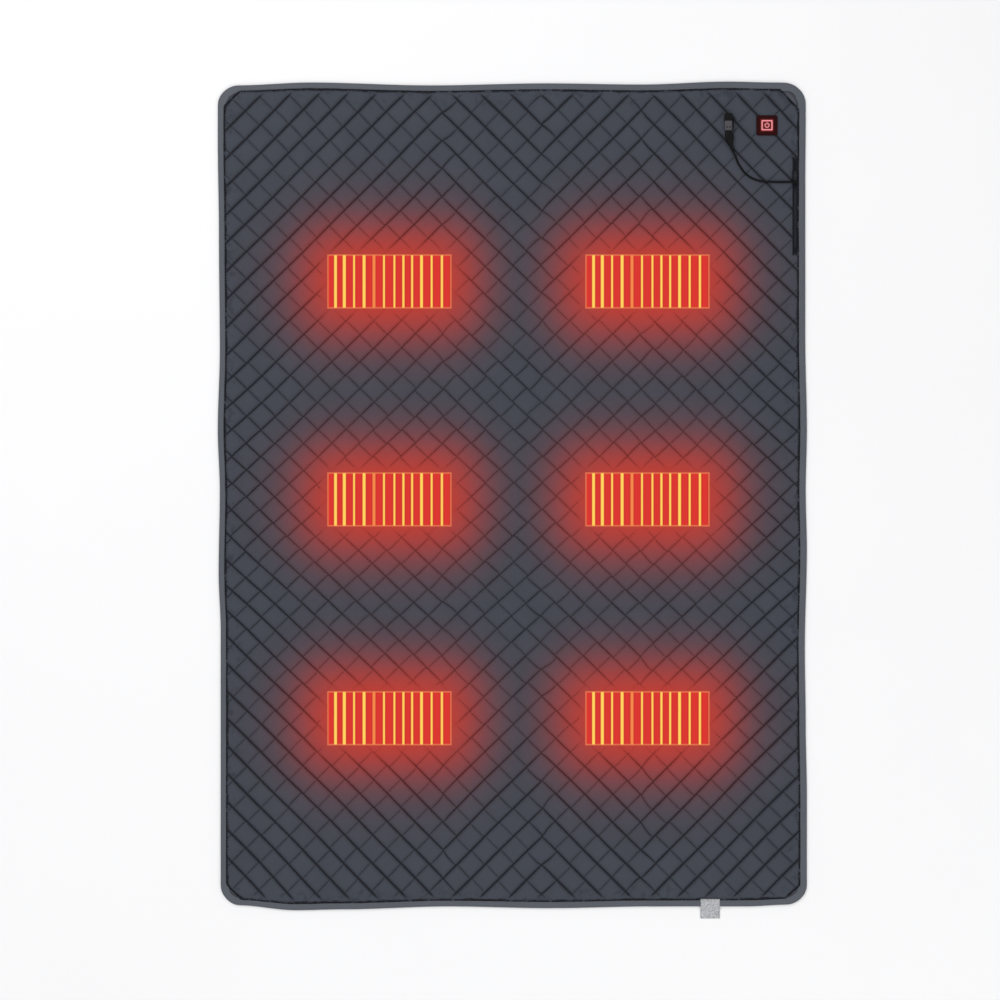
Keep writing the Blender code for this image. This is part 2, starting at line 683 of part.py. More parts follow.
def make_controller(materials, parent, button_parent, lining, wadding, face):
    make_bezel(materials["bezel"], parent)
    make_base(materials["bezel"], parent)
    board_size = [side - 2 * BASE_WALL - 2 * BOARD_CLEARANCE for side in BASE_SIZE]
    board = centred_box(CONTROLLER_AT, board_size, BOARD_Z, BOARD_TOP)
    add("controller_board", board, materials["board"], parent)
    make_switch(materials, parent, button_parent)
    x, y = CONTROLLER_AT
    led = centred_box((x + LED_OFFSET, y), LED_SIZE, BOARD_TOP + GAP, BOARD_TOP + GAP + LED_SIZE[2])
    add("indicator_led", led, materials["led"], parent)
    make_button(materials, button_parent)
    connector = centred_box(CONTROLLER_AT, CONNECTOR_SIZE, HEATER_Z + RIBBON_THICK + GAP, BOARD_Z - GAP)
    add("harness_connector", connector, materials["tongue"], parent)
    hole_size = [side + 2 * GAP for side in CONNECTOR_SIZE]
    hole = centred_box(CONTROLLER_AT, hole_size, LINING_Z - MM, LINING_TOP + GAP / 2)
    cut(lining, add("lining_wire_hole", hole, None, parent))
    neck_size = [side + 2 * NECK_WALL + 2 * GAP for side in WINDOW_SIZE]
    hole = centred_box(CONTROLLER_AT, neck_size, FACE_Z - MM, FACE_TOP + MM)
    cut(face, add("face_button_hole", hole, None, parent))
    recess_size = [side + 2 * GAP for side in BASE_SIZE]
    recess = centred_box(CONTROLLER_AT, recess_size, WADDING_Z - MM, WADDING_TOP + MM)
    cut(wadding, add("wadding_controller_recess", recess, None, parent))


# Zip pocket


def zip_box(left, right, bottom, top, low, high):
    return box_mesh((ZIP_X + left, bottom, low), (ZIP_X + right, top, high))


def make_zip_rows(materials, parent):
    bottom, top = ZIP_TOP_Y - ZIP_LENGTH, ZIP_TOP_Y
    for name, sign in (("inner", -1), ("outer", 1)):
        near, far = sign * TAPE_SPLIT / 2, sign * ZIP_WIDTH / 2
        tape = zip_box(min(near, far), max(near, far), bottom, top, TAPE_Z, TAPE_Z + TAPE_THICK)
        add(f"zip_tape_{name}", tape, materials["tape"], parent)
        near, far = sign * COIL_SPLIT / 2, sign * (COIL_SPLIT / 2 + COIL_WIDTH)
        ends = STOP_LENGTH + 2 * GAP
        coil = zip_box(min(near, far), max(near, far), bottom + ends, top - ends, COIL_Z, COIL_TOP)
        add(f"zip_coil_{name}", coil, materials["coil"], parent)
    half = STOP_WIDTH / 2
    for name, low in (("bottom", bottom + GAP), ("top", top - GAP - STOP_LENGTH)):
        stop = zip_box(-half, half, low, low + STOP_LENGTH, COIL_Z, COIL_TOP)
        add(f"zip_{name}_stop", stop, materials["slider"], parent)


def make_slider(materials, parent):
    """Two plates joined by a neck that runs between the coils, and two lugs for the pull tab."""
    lug = TAB_WIDTH / 2 + GAP
    lug_top = SLIDER_TOP + LUG_HEIGHT
    slider = add("zip_slider", slider_mesh(), materials["slider"], parent)
    for name, sign in (("left", -1), ("right", 1)):
        sides = sorted((sign * lug, sign * (lug + LUG_THICK)))
        ends = (SLIDER_Y - LUG_LENGTH / 2, SLIDER_Y + LUG_LENGTH / 2)
        piece = zip_box(*sides, *ends, SLIDER_TOP - SLIDER_PLATE / 2, lug_top)
        join_union(slider, add("slider_lug_" + name, piece, None, parent))


def slider_mesh():
    """The slider's I section, extruded along the zip."""
    half_x, half_y = SLIDER_SIZE[0] / 2, SLIDER_SIZE[1] / 2
    neck = SLIDER_NECK / 2
    foot_top = TAPE_Z - GAP
    foot_z = foot_top - SLIDER_FOOT
    outline = [(-half_x, foot_z), (half_x, foot_z), (half_x, foot_top), (neck, foot_top),
               (neck, SLIDER_Z), (half_x, SLIDER_Z), (half_x, SLIDER_TOP), (-half_x, SLIDER_TOP),
               (-half_x, SLIDER_Z), (-neck, SLIDER_Z), (-neck, foot_top), (-half_x, foot_top)]
    points = [(ZIP_X + x, SLIDER_Y - half_y, z) for x, z in outline]
    return extrude_outline(points, (0, 2 * half_y, 0))


def make_pull_tab(material, parent):
    """A flat tab along +Y on a cross pin between the slider's lugs."""
    z = TAB_Z
    half = TAB_WIDTH / 2
    start = TAB_PIN_RADIUS
    outline = [(-half, start), (half, start), (half, TAB_LENGTH - half), (half * 0.5, TAB_LENGTH),
               (-half * 0.5, TAB_LENGTH), (-half, TAB_LENGTH - half)]
    points = [(ZIP_X + x, SLIDER_Y - TAB_PIN_RADIUS + y, z - TAB_THICK / 2) for x, y in outline]
    tab = add("zip_pull_tab", extrude_outline(points, (0, 0, TAB_THICK)), material, parent)
    pin = cylinder_mesh((ZIP_X, SLIDER_Y, z), TAB_PIN_RADIUS, (1, 0, 0), TAB_WIDTH)
    join_union(tab, add("tab_pin", pin, None, parent))


def make_pocket(materials, parent, wadding, face):
    bottom, top = ZIP_TOP_Y - ZIP_LENGTH, ZIP_TOP_Y
    shelf = PANEL_WIDTH / 2 - SHELF_WIDTH
    inner = shelf - SHELF_SLOPE
    slot = zip_box(-ZIP_WIDTH / 2 - GAP, ZIP_WIDTH / 2 + GAP, bottom - GAP, top + GAP,
                   RIM_FACE_Z - MM, FACE_TOP + MM)
    cut(face, add("face_zip_slot", slot, None, parent))
    left = inner - POCKET_DEPTH
    margin = POCKET_MARGIN
    recess = box_mesh((left - GAP, bottom - margin, POCKET_BED_TOP),
                      (ZIP_X + ZIP_WIDTH / 2 + GAP, top + margin, WADDING_TOP + MM))
    cut(wadding, add("wadding_pocket_recess", recess, None, parent))
    well = box_mesh((shelf - MM, bottom - margin, RIM_LINING_Z),
                    (ZIP_X + ZIP_WIDTH / 2 + GAP, top + margin, WADDING_TOP + MM))
    cut(wadding, add("wadding_zip_well", well, None, parent))
    cloth = box_mesh((left, bottom - margin + GAP, POCKET_Z),
                     (inner - GAP, top + margin - GAP, POCKET_Z + POCKET_CLOTH))
    add("pocket_lining", cloth, materials["lining"], parent)


def make_supply_lead(materials, parent, wadding):
    """The flat lead that runs on from the cord, through the pocket, to the controller."""
    x, y = CONTROLLER_AT
    half = LEAD_WIDTH / 2
    end = y - BASE_SIZE[1] / 2 - GAP
    start = PANEL_WIDTH / 2 - SHELF_WIDTH - SHELF_SLOPE
    outline = [(start, CORD_Y - half), (start, CORD_Y + half), (x + half, CORD_Y + half),
               (x + half, end), (x - half, end), (x - half, CORD_Y - half)]
    add("supply_lead", plate(outline, LEAD_Z, LEAD_THICK), materials["cord"], parent)
    channel = box_mesh((x - half - GAP, ZIP_TOP_Y, LEAD_Z - GAP), (x + half + GAP, end + MM, WADDING_TOP + MM))
    cut(wadding, add("wadding_lead_channel", channel, None, parent))


# Cord and plug


def tail_path():
    """Centre, half width and half height of the plug's overmould, from its face to its tail."""
    x, y, z = PLUG_X, PLUG_FACE_Y, PLUG_Z
    narrow, low = PLUG_FACE_CHAMFER
    path = [
        ((x, y, z), PLUG_HALF_WIDTH - narrow, PLUG_HALF_HEIGHT - low),
        ((x, y - 2 * narrow, z), PLUG_HALF_WIDTH, PLUG_HALF_HEIGHT),
    ]
    for behind, shift, half_width, half_height, down in PLUG_TAIL:
        centre = (x + shift, y - behind, z - down * (PLUG_Z - CORD_Z))
        path.append((centre, half_width, half_height))
    return path


def make_plug_body(material, parent):
    path = tail_path()
    rings = []
    for i, (centre, half_width, half_height) in enumerate(path):
        before = Vector(path[max(i - 1, 0)][0])
        after = Vector(path[min(i + 1, len(path) - 1)][0])
        forward = (0, -1, 0) if i < 3 else after - before
        radius = min(half_width, half_height) * 0.8
        rings.append(facing_ring(centre, forward, half_width, half_height, radius, 4))
    plug = add("usb_plug_body", loft(rings), material, parent)
    plug.data.shade_smooth()
    plug.data.set_sharp_from_angle(angle=math.radians(35))
    return plug


def plug_ring(half_width, half_height, radius, y):
    return facing_ring((PLUG_X, y, PLUG_Z), (0, 1, 0), half_width, half_height, radius)


def make_shell(materials, parent):
    """The metal sleeve, its tongue and the contacts on the tongue's upper side."""
    start = PLUG_FACE_Y + GAP
    mouth = start + SHELL_LENGTH
    wide, high = SHELL_WIDTH / 2, SHELL_HEIGHT / 2
    rings = [
        plug_ring(wide, high, 0.5 * MM, start),
        plug_ring(wide, high, 0.5 * MM, mouth),
        plug_ring(wide - SHELL_WALL, high - SHELL_WALL, 0.3 * MM, mouth),
        plug_ring(wide - SHELL_WALL, high - SHELL_WALL, 0.3 * MM, start + SHELL_WALL),
    ]
    add("usb_shell", loft(rings), materials["metal"], parent)
    half = TONGUE_WIDTH / 2
    floor = PLUG_Z - high + SHELL_WALL + GAP
    back = start + SHELL_WALL + GAP
    tip = mouth - TONGUE_SET_BACK
    tongue = box_mesh((PLUG_X - half, back, floor), (PLUG_X + half, tip, floor + TONGUE_THICK))
    add("usb_tongue", tongue, materials["tongue"], parent)
    add("usb_contacts", contact_mesh(mouth, floor + TONGUE_THICK + GAP / 2), materials["gold"], parent)


def contact_mesh(mouth, z):
    """Four flat contacts on one lead frame at their back."""
    tip = mouth - CONTACT_SET_BACK
    root = tip - CONTACT_LENGTH
    back = root - MM
    centres = [PLUG_X + CONTACT_PITCH * (i - (CONTACT_COUNT - 1) / 2) for i in range(CONTACT_COUNT)]
    half = CONTACT_WIDTH / 2
    outline = []
    for x in centres:
        outline += [(x - half, root), (x - half, tip), (x + half, tip), (x + half, root)]
    outline += [(centres[-1] + half, back), (centres[0] - half, back)]
    return plate(outline, z, CONTACT_THICK)


def make_cap(materials, parent, root):
    """The plug's cap, half pulled off, and the strap that keeps it."""
    mouth = PLUG_FACE_Y + GAP + SHELL_LENGTH - CAP_HELD
    end = mouth + CAP_LENGTH
    hole_wide, hole_high = SHELL_WIDTH / 2 + GAP, SHELL_HEIGHT / 2 + GAP
    wide, high = hole_wide + CAP_WALL / 2, hole_high + CAP_WALL
    edge = CAP_CHAMFER
    rings = [
        plug_ring(wide - edge, high - edge, edge, end),
        plug_ring(wide, high, CAP_WALL, end - edge),
        plug_ring(wide, high, CAP_WALL, mouth),
        plug_ring(hole_wide, hole_high, edge / 2, mouth),
        plug_ring(hole_wide, hole_high, edge / 2, end - CAP_END_WALL),
    ]
    add("usb_cap", loft(rings), materials["cord"], parent)
    add("cap_tether", tether_mesh(PLUG_X + wide + GAP, mouth), materials["cord"], root)


def tether_mesh(inner, mouth):
    """The strap beside the cap, from the plug's face to a little way up the cap."""
    outer = inner + TETHER_WIDTH
    root, tip = PLUG_FACE_Y + GAP, mouth + TETHER_OVERLAP
    shift = TETHER_WIDTH / 2
    outline = [(inner - shift * 0.7, root), (inner + shift / 2, root), (outer, root + 5 * shift),
               (outer, tip - TETHER_WIDTH), (inner + shift, tip), (inner, tip), (inner, root + 6 * shift)]
    return plate(outline, PLUG_Z - TETHER_THICK / 2, TETHER_THICK)


def make_grommet(material, parent):
    """The tapered rubber piece that the cord leaves the zip through."""
    bottom = COIL_TOP + GAP
    z = CORD_Z - CORD_EXIT_DROP
    tip_width, tip_height = GROMMET_TIP_SIZE
    reach, width = GROMMET_WIDEST
    crown = z + tip_height / 2
    stations = [
        (0, tip_width, z - tip_height / 2, crown),
        (reach, width, bottom, crown + GAP / 2),
        (GROMMET_LENGTH - GROMMET_RADIUS, GROMMET_DEPTH, bottom, crown - GAP),
        (GROMMET_LENGTH, GROMMET_DEPTH - 2 * GROMMET_RADIUS, bottom, z),
    ]
    rings = []
    for along, wide, low, high in stations:
        middle = (GROMMET_X + along, CORD_Y, (low + high) / 2)
        rings.append(facing_ring(middle, (1, 0, 0), wide / 2, (high - low) / 2, GROMMET_RADIUS))
    return add("cord_grommet", loft(rings), material, parent)


def smooth_route(points, samples):
    """Even samples of a Catmull-Rom curve through points."""
    ends = [points[0] * 2 - points[1], *points, points[-1] * 2 - points[-2]]
    fine = []
    for p0, p1, p2, p3 in zip(ends, ends[1:], ends[2:], ends[3:]):
        for i in range(16):
            t = i / 16
            fine.append(0.5 * (2 * p1 + (p2 - p0) * t + (2 * p0 - 5 * p1 + 4 * p2 - p3) * t * t
                               + (3 * p1 - p0 - 3 * p2 + p3) * t ** 3))
    fine.append(points[-1])
    lengths = [0.0]
    for a, b in zip(fine, fine[1:]):
        lengths.append(lengths[-1] + (b - a).length)
    even = []
    for i in range(samples):
        target = lengths[-1] * i / (samples - 1)
        j = max(k for k in range(len(fine) - 1) if lengths[k] <= target)
        share = (target - lengths[j]) / (lengths[j + 1] - lengths[j])
        even.append(fine[j].lerp(fine[j + 1], share))
    return even


def cord_points():
    side, top = PANEL_WIDTH / 2, PANEL_LENGTH / 2
    route = [Vector((side - x, top - y, CORD_Z)) for x, y in CORD_ROUTE]
    low = CORD_Z - CORD_EXIT_DROP
    route.append(Vector((GROMMET_X - 8.3 * MM, CORD_Y, CORD_Z)))
    route.append(Vector((GROMMET_X - 3.0 * MM, CORD_Y, low + 0.25 * MM)))
    route.append(Vector((GROMMET_X - GAP, CORD_Y, low)))
    return smooth_route(route, CORD_SAMPLES)


def make_cord(material, parent):
    curve = bpy.data.curves.new("usb_cord", "CURVE")
    curve.dimensions = "3D"
    curve.bevel_depth = CORD_DIAMETER / 2
    curve.bevel_resolution = 2
    curve.use_fill_caps = True
    points = cord_points()
    spline = curve.splines.new("POLY")
    spline.points.add(len(points) - 1)
    for point, place in zip(spline.points, points):
        point.co = (*(place - world_place(parent)), 1.0)
    cord = bpy.data.objects.new("usb_cord", curve)
    bpy.context.scene.collection.objects.link(cord)
    cord.parent = parent
    curve.materials.append(material)
    return cord


# Care label


def make_label(material, parent):
    """A cloth tab sewn on the binding that hangs over the edge to the floor."""
    edge = -PANEL_LENGTH / 2
    seam = edge + LABEL_SEAM_INSET
    top = BINDING_TOP + GAP
    thick = LABEL_THICK
    turn, level, land = LABEL_BENDS
    lower = [(seam, top), (edge - GAP, top), (edge - turn, top / 2), (edge - level, LABEL_BEND_HEIGHT),
             (edge - land, 0), (edge - LABEL_OVERHANG, 0)]
    upper = [(y, z + thick) for y, z in reversed(lower)]
    left = LABEL_X - LABEL_WIDTH / 2
    points = [(left, y, z) for y, z in lower + upper]
    return add("care_label", extrude_outline(points, (LABEL_WIDTH, 0, 0)), material, parent)


# Assembly


def make_materials():
    return {
        "face": make_material("quilted_face", (0.055, 0.062, 0.080), 0.8),
        "back": make_material("back_cloth", (0.048, 0.054, 0.068), 0.85),
        "lining": make_material("lining_cloth", (0.30, 0.31, 0.33), 0.9),
        "wadding": make_material("wadding", (0.75, 0.75, 0.74), 1.0),
        "binding": make_material("binding_tape", (0.095, 0.105, 0.125), 0.75),
        "film": make_material("pad_film", (0.55, 0.12, 0.06), 0.5),
        "carbon": make_material("carbon_grid", (0.95, 0.55, 0.12), 0.6),
        "ribbon": make_material("harness_ribbon", (0.12, 0.12, 0.13), 0.6),
        "bezel": make_material("controller_case", (0.035, 0.010, 0.013), 0.45),
        "button": make_material("power_button", (0.045, 0.008, 0.010), 0.4),
        "icon": make_material("lit_icon", (0.80, 0.28, 0.30), 0.4),
        "board": make_material("circuit_board", (0.02, 0.16, 0.06), 0.5),
        "switch": make_material("switch_plastic", (0.03, 0.03, 0.03), 0.5),
        "led": make_material("led_lens", (0.90, 0.15, 0.10), 0.2),
        "tape": make_material("zip_tape", (0.020, 0.021, 0.028), 0.85),
        "coil": make_material("zip_coil", (0.012, 0.012, 0.016), 0.5),
        "slider": make_material("zip_metal", (0.02, 0.02, 0.022), 0.4, 0.8),
        "cord": make_material("black_rubber", (0.008, 0.008, 0.010), 0.55),
        "metal": make_material("plug_metal", (0.70, 0.70, 0.70), 0.25, 1.0),
        "tongue": make_material("plug_plastic", (0.03, 0.03, 0.03), 0.5),
        "gold": make_material("contact_gold", (0.85, 0.60, 0.22), 0.3, 1.0),
        "label": make_material("label_cloth", (0.62, 0.62, 0.60), 0.85),
    }


def main():
    clear_scene()
    materials = make_materials()
    root = make_empty("panel_centre", (0, 0, 0))
    root.location.y = CLOTH_Y
    fold = make_empty("fold_axis", (0, 0, FOLD_Z), root)
    button = make_empty("button_axis", (*CONTROLLER_AT, BUTTON_TOP), root)
    slider = make_empty("slider_axis", (ZIP_X, SLIDER_Y, SLIDER_Z), root)
    tab = make_empty("tab_axis", (ZIP_X, SLIDER_Y, TAB_Z), slider)
    cap = make_empty("cap_axis", (PLUG_X, PLUG_FACE_Y + SHELL_LENGTH, PLUG_Z), root)
    parents = {"left": fold, "right": root}
    lining, wadding, face = make_cloth(materials, parents)
    make_pads(materials, parents)
    make_harness(materials, parents)
    make_controller(materials, root, button, lining, wadding, face)
    make_zip_rows(materials, root)
    make_slider(materials, slider)
    make_pull_tab(materials["slider"], tab)
    make_pocket(materials, root, wadding, face)
    make_supply_lead(materials, root, wadding)
    make_plug_body(materials["cord"], root)
    make_shell(materials, root)
    make_cap(materials, cap, root)
    make_grommet(materials["cord"], root)
    make_cord(materials["cord"], root)
    make_label(materials["label"], root)


main()
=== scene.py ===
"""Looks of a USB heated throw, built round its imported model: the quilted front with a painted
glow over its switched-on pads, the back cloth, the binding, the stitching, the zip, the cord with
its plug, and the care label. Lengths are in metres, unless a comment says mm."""

import math

import bmesh
import bpy
import numpy as np
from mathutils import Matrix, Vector, noise


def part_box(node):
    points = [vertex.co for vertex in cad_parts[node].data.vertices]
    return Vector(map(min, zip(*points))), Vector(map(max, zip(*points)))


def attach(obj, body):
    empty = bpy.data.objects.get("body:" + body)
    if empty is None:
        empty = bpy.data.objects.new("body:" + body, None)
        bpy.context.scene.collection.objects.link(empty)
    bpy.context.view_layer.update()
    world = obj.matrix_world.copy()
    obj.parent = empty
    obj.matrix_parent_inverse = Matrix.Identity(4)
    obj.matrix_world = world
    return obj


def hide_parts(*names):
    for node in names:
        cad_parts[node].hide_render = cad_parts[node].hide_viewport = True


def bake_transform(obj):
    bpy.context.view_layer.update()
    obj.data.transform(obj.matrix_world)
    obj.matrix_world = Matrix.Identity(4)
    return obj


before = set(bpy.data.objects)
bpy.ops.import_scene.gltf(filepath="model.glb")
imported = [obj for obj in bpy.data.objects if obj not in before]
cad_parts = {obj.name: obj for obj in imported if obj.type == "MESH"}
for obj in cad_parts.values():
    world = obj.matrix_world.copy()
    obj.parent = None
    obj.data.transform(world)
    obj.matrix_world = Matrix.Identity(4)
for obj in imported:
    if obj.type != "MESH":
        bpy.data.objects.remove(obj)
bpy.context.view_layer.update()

MM = 0.001

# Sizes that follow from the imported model
LEFT_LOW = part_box("edge_binding_left")[0]
RIGHT_LOW, RIGHT_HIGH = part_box("edge_binding_right")
HALF_X = (RIGHT_HIGH.x - LEFT_LOW.x) / 2
HALF_Y = (RIGHT_HIGH.y - RIGHT_LOW.y) / 2
CENTRE_Y = (RIGHT_HIGH.y + RIGHT_LOW.y) / 2
CORNER = 34 * MM
BINDING_WIDTH = 10.5 * MM
PADS = {(side, row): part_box(f"pad_film_{side}_{row}")
        for side in ("left", "right") for row in ("top", "middle", "bottom")}
FOLD_ZONE = 10 * MM  # the cloth bends between these two sides of x = 0

# Quilting: one diamond's width and length, and the place of one crossing of the lines
DIAMOND = (47.4 * MM, 48.5 * MM)
CROSSING = (-121.1 * MM, 617.3 * MM)
CROWN = 6.4 * MM  # height of the cloth between creases
DOME = 0.75 * MM  # how much higher a diamond's middle is
CREASE_DEPTH = 3.1 * MM
CREASE_SPREAD = 2.9 * MM
JOG = 0.13  # how far a broken line jumps at a crossing, in diamonds
# How deep a crease is, as shares of that depth: the least, what the deeper lines add, what
# corners and edges add to those, and how uneven it is
LEAST, DEEPER, CORNER_WEIGHT, EDGE_WEIGHT, UNEVEN = 0.60, 0.24, 0.36, 0.32, 0.12
LOWEST_Z = 3.9 * MM  # no crease goes below this
FOLD_LOWEST_Z = 4.7 * MM  # nor below this near the fold
RIM_Z = 3.6 * MM  # where the quilt goes under its binding
RIM_SLOPE = 13 * MM
PUCKER_REACH = 40 * MM  # how far in from the binding the cloth is puckered
PUCKER_DEPTH = 0.8 * MM
CELL_STEPS = np.array([0, 0.055, 0.15, 0.3, 0.5, 0.7, 0.85, 0.945])

# How far the lines drift from an even grid, along x and along y: place and offset
DRIFT_X = [(-0.60, -0.003), (-0.29, 0.0), (-0.04, 0.0026), (0.09, 0.0070), (0.35, 0.0095),
           (0.60, 0.0095)]
DRIFT_Y = [(-0.85, 0.0520), (-0.645, 0.0500), (-0.517, 0.0485), (-0.389, 0.0460),
           (-0.260, 0.0405), (-0.132, 0.0308), (-0.004, 0.0225), (0.124, 0.0154),
           (0.252, 0.0103), (0.380, 0.0065), (0.509, 0.0035), (0.64, 0.0030), (0.85, 0.0030)]

# How far each edge of the panel wanders outward: place along it and offset
EDGE_WAVES = {
    "top": [(-0.50, -0.004), (-0.47, -0.003), (-0.345, 0.002), (-0.14, -0.003), (0.06, 0.0005),
            (0.22, -0.0015), (0.37, 0.0035), (0.45, 0.002), (0.50, 0.0)],
    "bottom": [(-0.50, -0.006), (-0.47, -0.004), (-0.37, 0.0045), (-0.29, 0.003), (-0.11, -0.002),
               (0.065, 0.001), (0.235, -0.002), (0.40, -0.002), (0.47, -0.005), (0.50, -0.006)],
    "left": [(-0.69, -0.002), (-0.22, -0.002), (-0.12, 0.0015), (0.02, -0.0005), (0.125, 0.003),
             (0.26, -0.0005), (0.46, 0.001), (0.62, 0.003), (0.72, 0.003)],
    "right": [(-0.69, 0.002), (-0.50, 0.002), (-0.38, 0.0), (-0.25, -0.0015), (-0.08, 0.002),
              (0.02, 0.0), (0.125, 0.002), (0.28, -0.0008), (0.54, -0.0008), (0.66, 0.0),
              (0.72, 0.0)],
}
# The real edges lie a little outside the model's straight ones
EDGE_OUT = {"top": 1.9 * MM, "bottom": 2.9 * MM, "left": 0.9 * MM, "right": 2.0 * MM}

# Sections of the binding, from its inner edge round its outside and back: inset and height, in mm
BINDING_TOP = [(10.5, 4.05), (10.1, 4.5), (8.6, 4.75), (6.2, 4.8), (3.8, 4.7), (2.0, 4.35),
               (0.8, 3.7), (0.15, 2.8), (0.0, 2.2), (0.2, 1.3), (0.9, 0.5), (2.2, 0.15),
               (5.0, 0.05), (8.0, 0.05), (10.5, 0.1)]
BINDING_INSIDE = [(10.4, 0.5), (5.0, 0.5), (2.4, 0.7), (1.2, 1.3), (0.8, 2.2), (1.2, 3.2),
                  (2.6, 3.85), (5.0, 4.15), (8.0, 4.1), (10.3, 3.7)]
STRETCHED = 6  # rows at each end of the section that reach further in at a corner

MAP_SPAN = 1.5  # what the panel's UV map covers
TAPE_SPAN = 5  # what the binding's UV map covers along it

CORD_DIAMETER = 3.5 * MM
CORD_Z = 9.25 * MM
CORD_DROP = 0.95 * MM
# The cord from the plug's tail to the zip, in mm from the panel's right side and from its top
CORD_ROUTE = [(121.4, 118.3), (118.2, 125.0), (115.0, 133.7), (109.5, 142.9), (103.0, 151.5),
              (93.1, 159.3), (81.1, 164.2), (70.2, 166.4), (48.5, 167.1), (35.0, 167.1)]

HEAT = 1.0  # how bright the pads' painted glow is: 0 is switched off
PAD_GLOW_RED = (0.70, 0.024, 0.016)
GLOW_RED = (0.600, 0.034, 0.012)
BAR_YELLOW = (1.0, 0.66, 0.10)
BAR_ORANGE = (0.90, 0.24, 0.055)
FRAME_ORANGE = (0.74, 0.145, 0.050)
GLOW_EDGE = 34 * MM  # past the pad's edge, where the glow is at half of its strength
GLOW_BLUR = 43 * MM
GLOW_FALL = 1.702  # makes the logistic curve follow a blurred edge
BAR_PITCH = 16.5 * MM
FIRST_BAR = 13.7 * MM  # from the pad's left side
BAR_WIDTHS = [5.0, 5.4, 3.5, 5.2, 4.3, 3.5, 3.5, 3.9, 3.6, 5.0, 3.6, 4.0]  # mm
BAR_SHIFTS = [-0.8, -2.3, -2.1, -1.5, -1.1, -0.5, 0.8, -0.3, -1.9, -2.3, -1.5, -0.5]  # mm
BAR_RANGE = 20  # mm that the full range of the bars' ramp stands for
DIM_BAR = 4

QUILT_GREY = (0.0465, 0.0525, 0.0685)
# Colour of the painted shade in the creases, the seam groove and the puckers
PAINTED_CREASE_SHADE = (0.004, 0.005, 0.008)
PAINTED_GLOW_BASE = (0.006, 0.002, 0.002)  # the base colour under the painted glow, made dark so that the glow sets the colour

CAMERA_PLACE = (-0.021, 0.0045, 4.042)
CAMERA_LENS = 85
FLOOR_HALF = 60.0


# Shape of the panel


def smooth(low, high, value):
    t = np.clip((value - low) / (high - low), 0, 1)
    return t * t * (3 - 2 * t)


def along_table(value, pairs):
    """A value read from (place, value) pairs, with smooth turns."""
    places = np.array([p for p, _ in pairs])
    values = np.array([v for _, v in pairs])
    value = np.clip(value, places[0], places[-1])
    i = np.clip(np.searchsorted(places, value, side="right") - 1, 0, len(places) - 2)
    t = (value - places[i]) / (places[i + 1] - places[i])
    return values[i] + (values[i + 1] - values[i]) * t * t * (3 - 2 * t)


def wander(x, y):
    """Moves points near the panel's edges as the real, slightly wavy edges run."""
    share_x = np.clip((np.abs(x) / HALF_X - 0.75) / 0.25, 0, 1) ** 2
    share_y = np.clip((np.abs(y - CENTRE_Y) / HALF_Y - 0.82) / 0.18, 0, 1) ** 2
    out = {edge: along_table(x if edge in ("top", "bottom") else y, waves) + EDGE_OUT[edge]
           for edge, waves in EDGE_WAVES.items()}
    side = np.where(x < 0, -out["left"], out["right"])
    end = np.where(y < CENTRE_Y, -out["bottom"], out["top"])
    return x + side * share_x, y + end * share_y


def wander_points(points):
    points = np.array(points)
    points[:, 0], points[:, 1] = wander(points[:, 0], points[:, 1])
    return points


def inset_of(x, y):
    """Distance from the panel's straight edges and round corners, positive inside."""
    qx = np.abs(x) - (HALF_X - CORNER)
    qy = np.abs(y - CENTRE_Y) - (HALF_Y - CORNER)
    outside = np.hypot(np.maximum(qx, 0), np.maximum(qy, 0))
    return CORNER - (outside + np.minimum(np.maximum(qx, qy), 0))


def outside_box(x, y, low, high):
    """Distance outside a box seen from above, negative over it."""
    return np.maximum(np.maximum(low.x - x, x - high.x), np.maximum(low.y - y, y - high.y))


def scatter(i, seed):
    """A repeatable value from -1 to 1 for each whole number."""
    return np.sin(i * 12.9898 + seed * 78.233) * 43758.5453 % 1 * 2 - 1


def corner_cut(x, y):
    """The seam cuts each corner where its distances from the two sides add up to this."""
    return np.where((x > 0) & (y > CENTRE_Y), 53 * MM, 45 * MM)


def side_gaps(x, y):
    """Distances inward from the panel's side and from its end."""
    return HALF_X - np.abs(x), HALF_Y - np.abs(y - CENTRE_Y)


def straight_width(x):
    """The binding's width beside the straight edges, a little wider to the right."""
    return BINDING_WIDTH + (0.6 * x / HALF_X - 0.3) * MM


def binding_width(place, normal):
    """The visible width of the binding at a place on the outline: it is wider at corners."""
    gap_x, gap_y = side_gaps(place.x, place.y)
    cut = (corner_cut(place.x, place.y) - gap_x - gap_y) / (abs(normal.x) + abs(normal.y))
    return float(max(straight_width(place.x), cut))


def seam_inset(x, y):
    """How far inside the binding's inner edge a point is."""
    gap_x, gap_y = side_gaps(x, y)
    past_cut = (gap_x + gap_y - corner_cut(x, y)) / math.sqrt(2)
    return np.minimum(inset_of(x, y) - straight_width(x), past_cut)


# Quilted surface


def slash_share(x, y):
    """1 where the lines that rise to the right are the deeper ones, 0 where the others are."""
    zone = np.clip((x + 0.12) / 0.168, -0.5, 2.5)
    swing = np.clip(np.sin(math.pi * zone) * 2.2, -1, 1)
    turn = np.clip((y - CENTRE_Y) / 0.30, -1, 1)
    return 0.5 - 0.5 * swing * turn


def pad_reach(x, y):
    """Distance outside the nearest heating pad, negative over one."""
    reach = np.full_like(x, 1.0)
    for low, high in PADS.values():
        reach = np.minimum(reach, outside_box(x, y, low, high))
    return reach


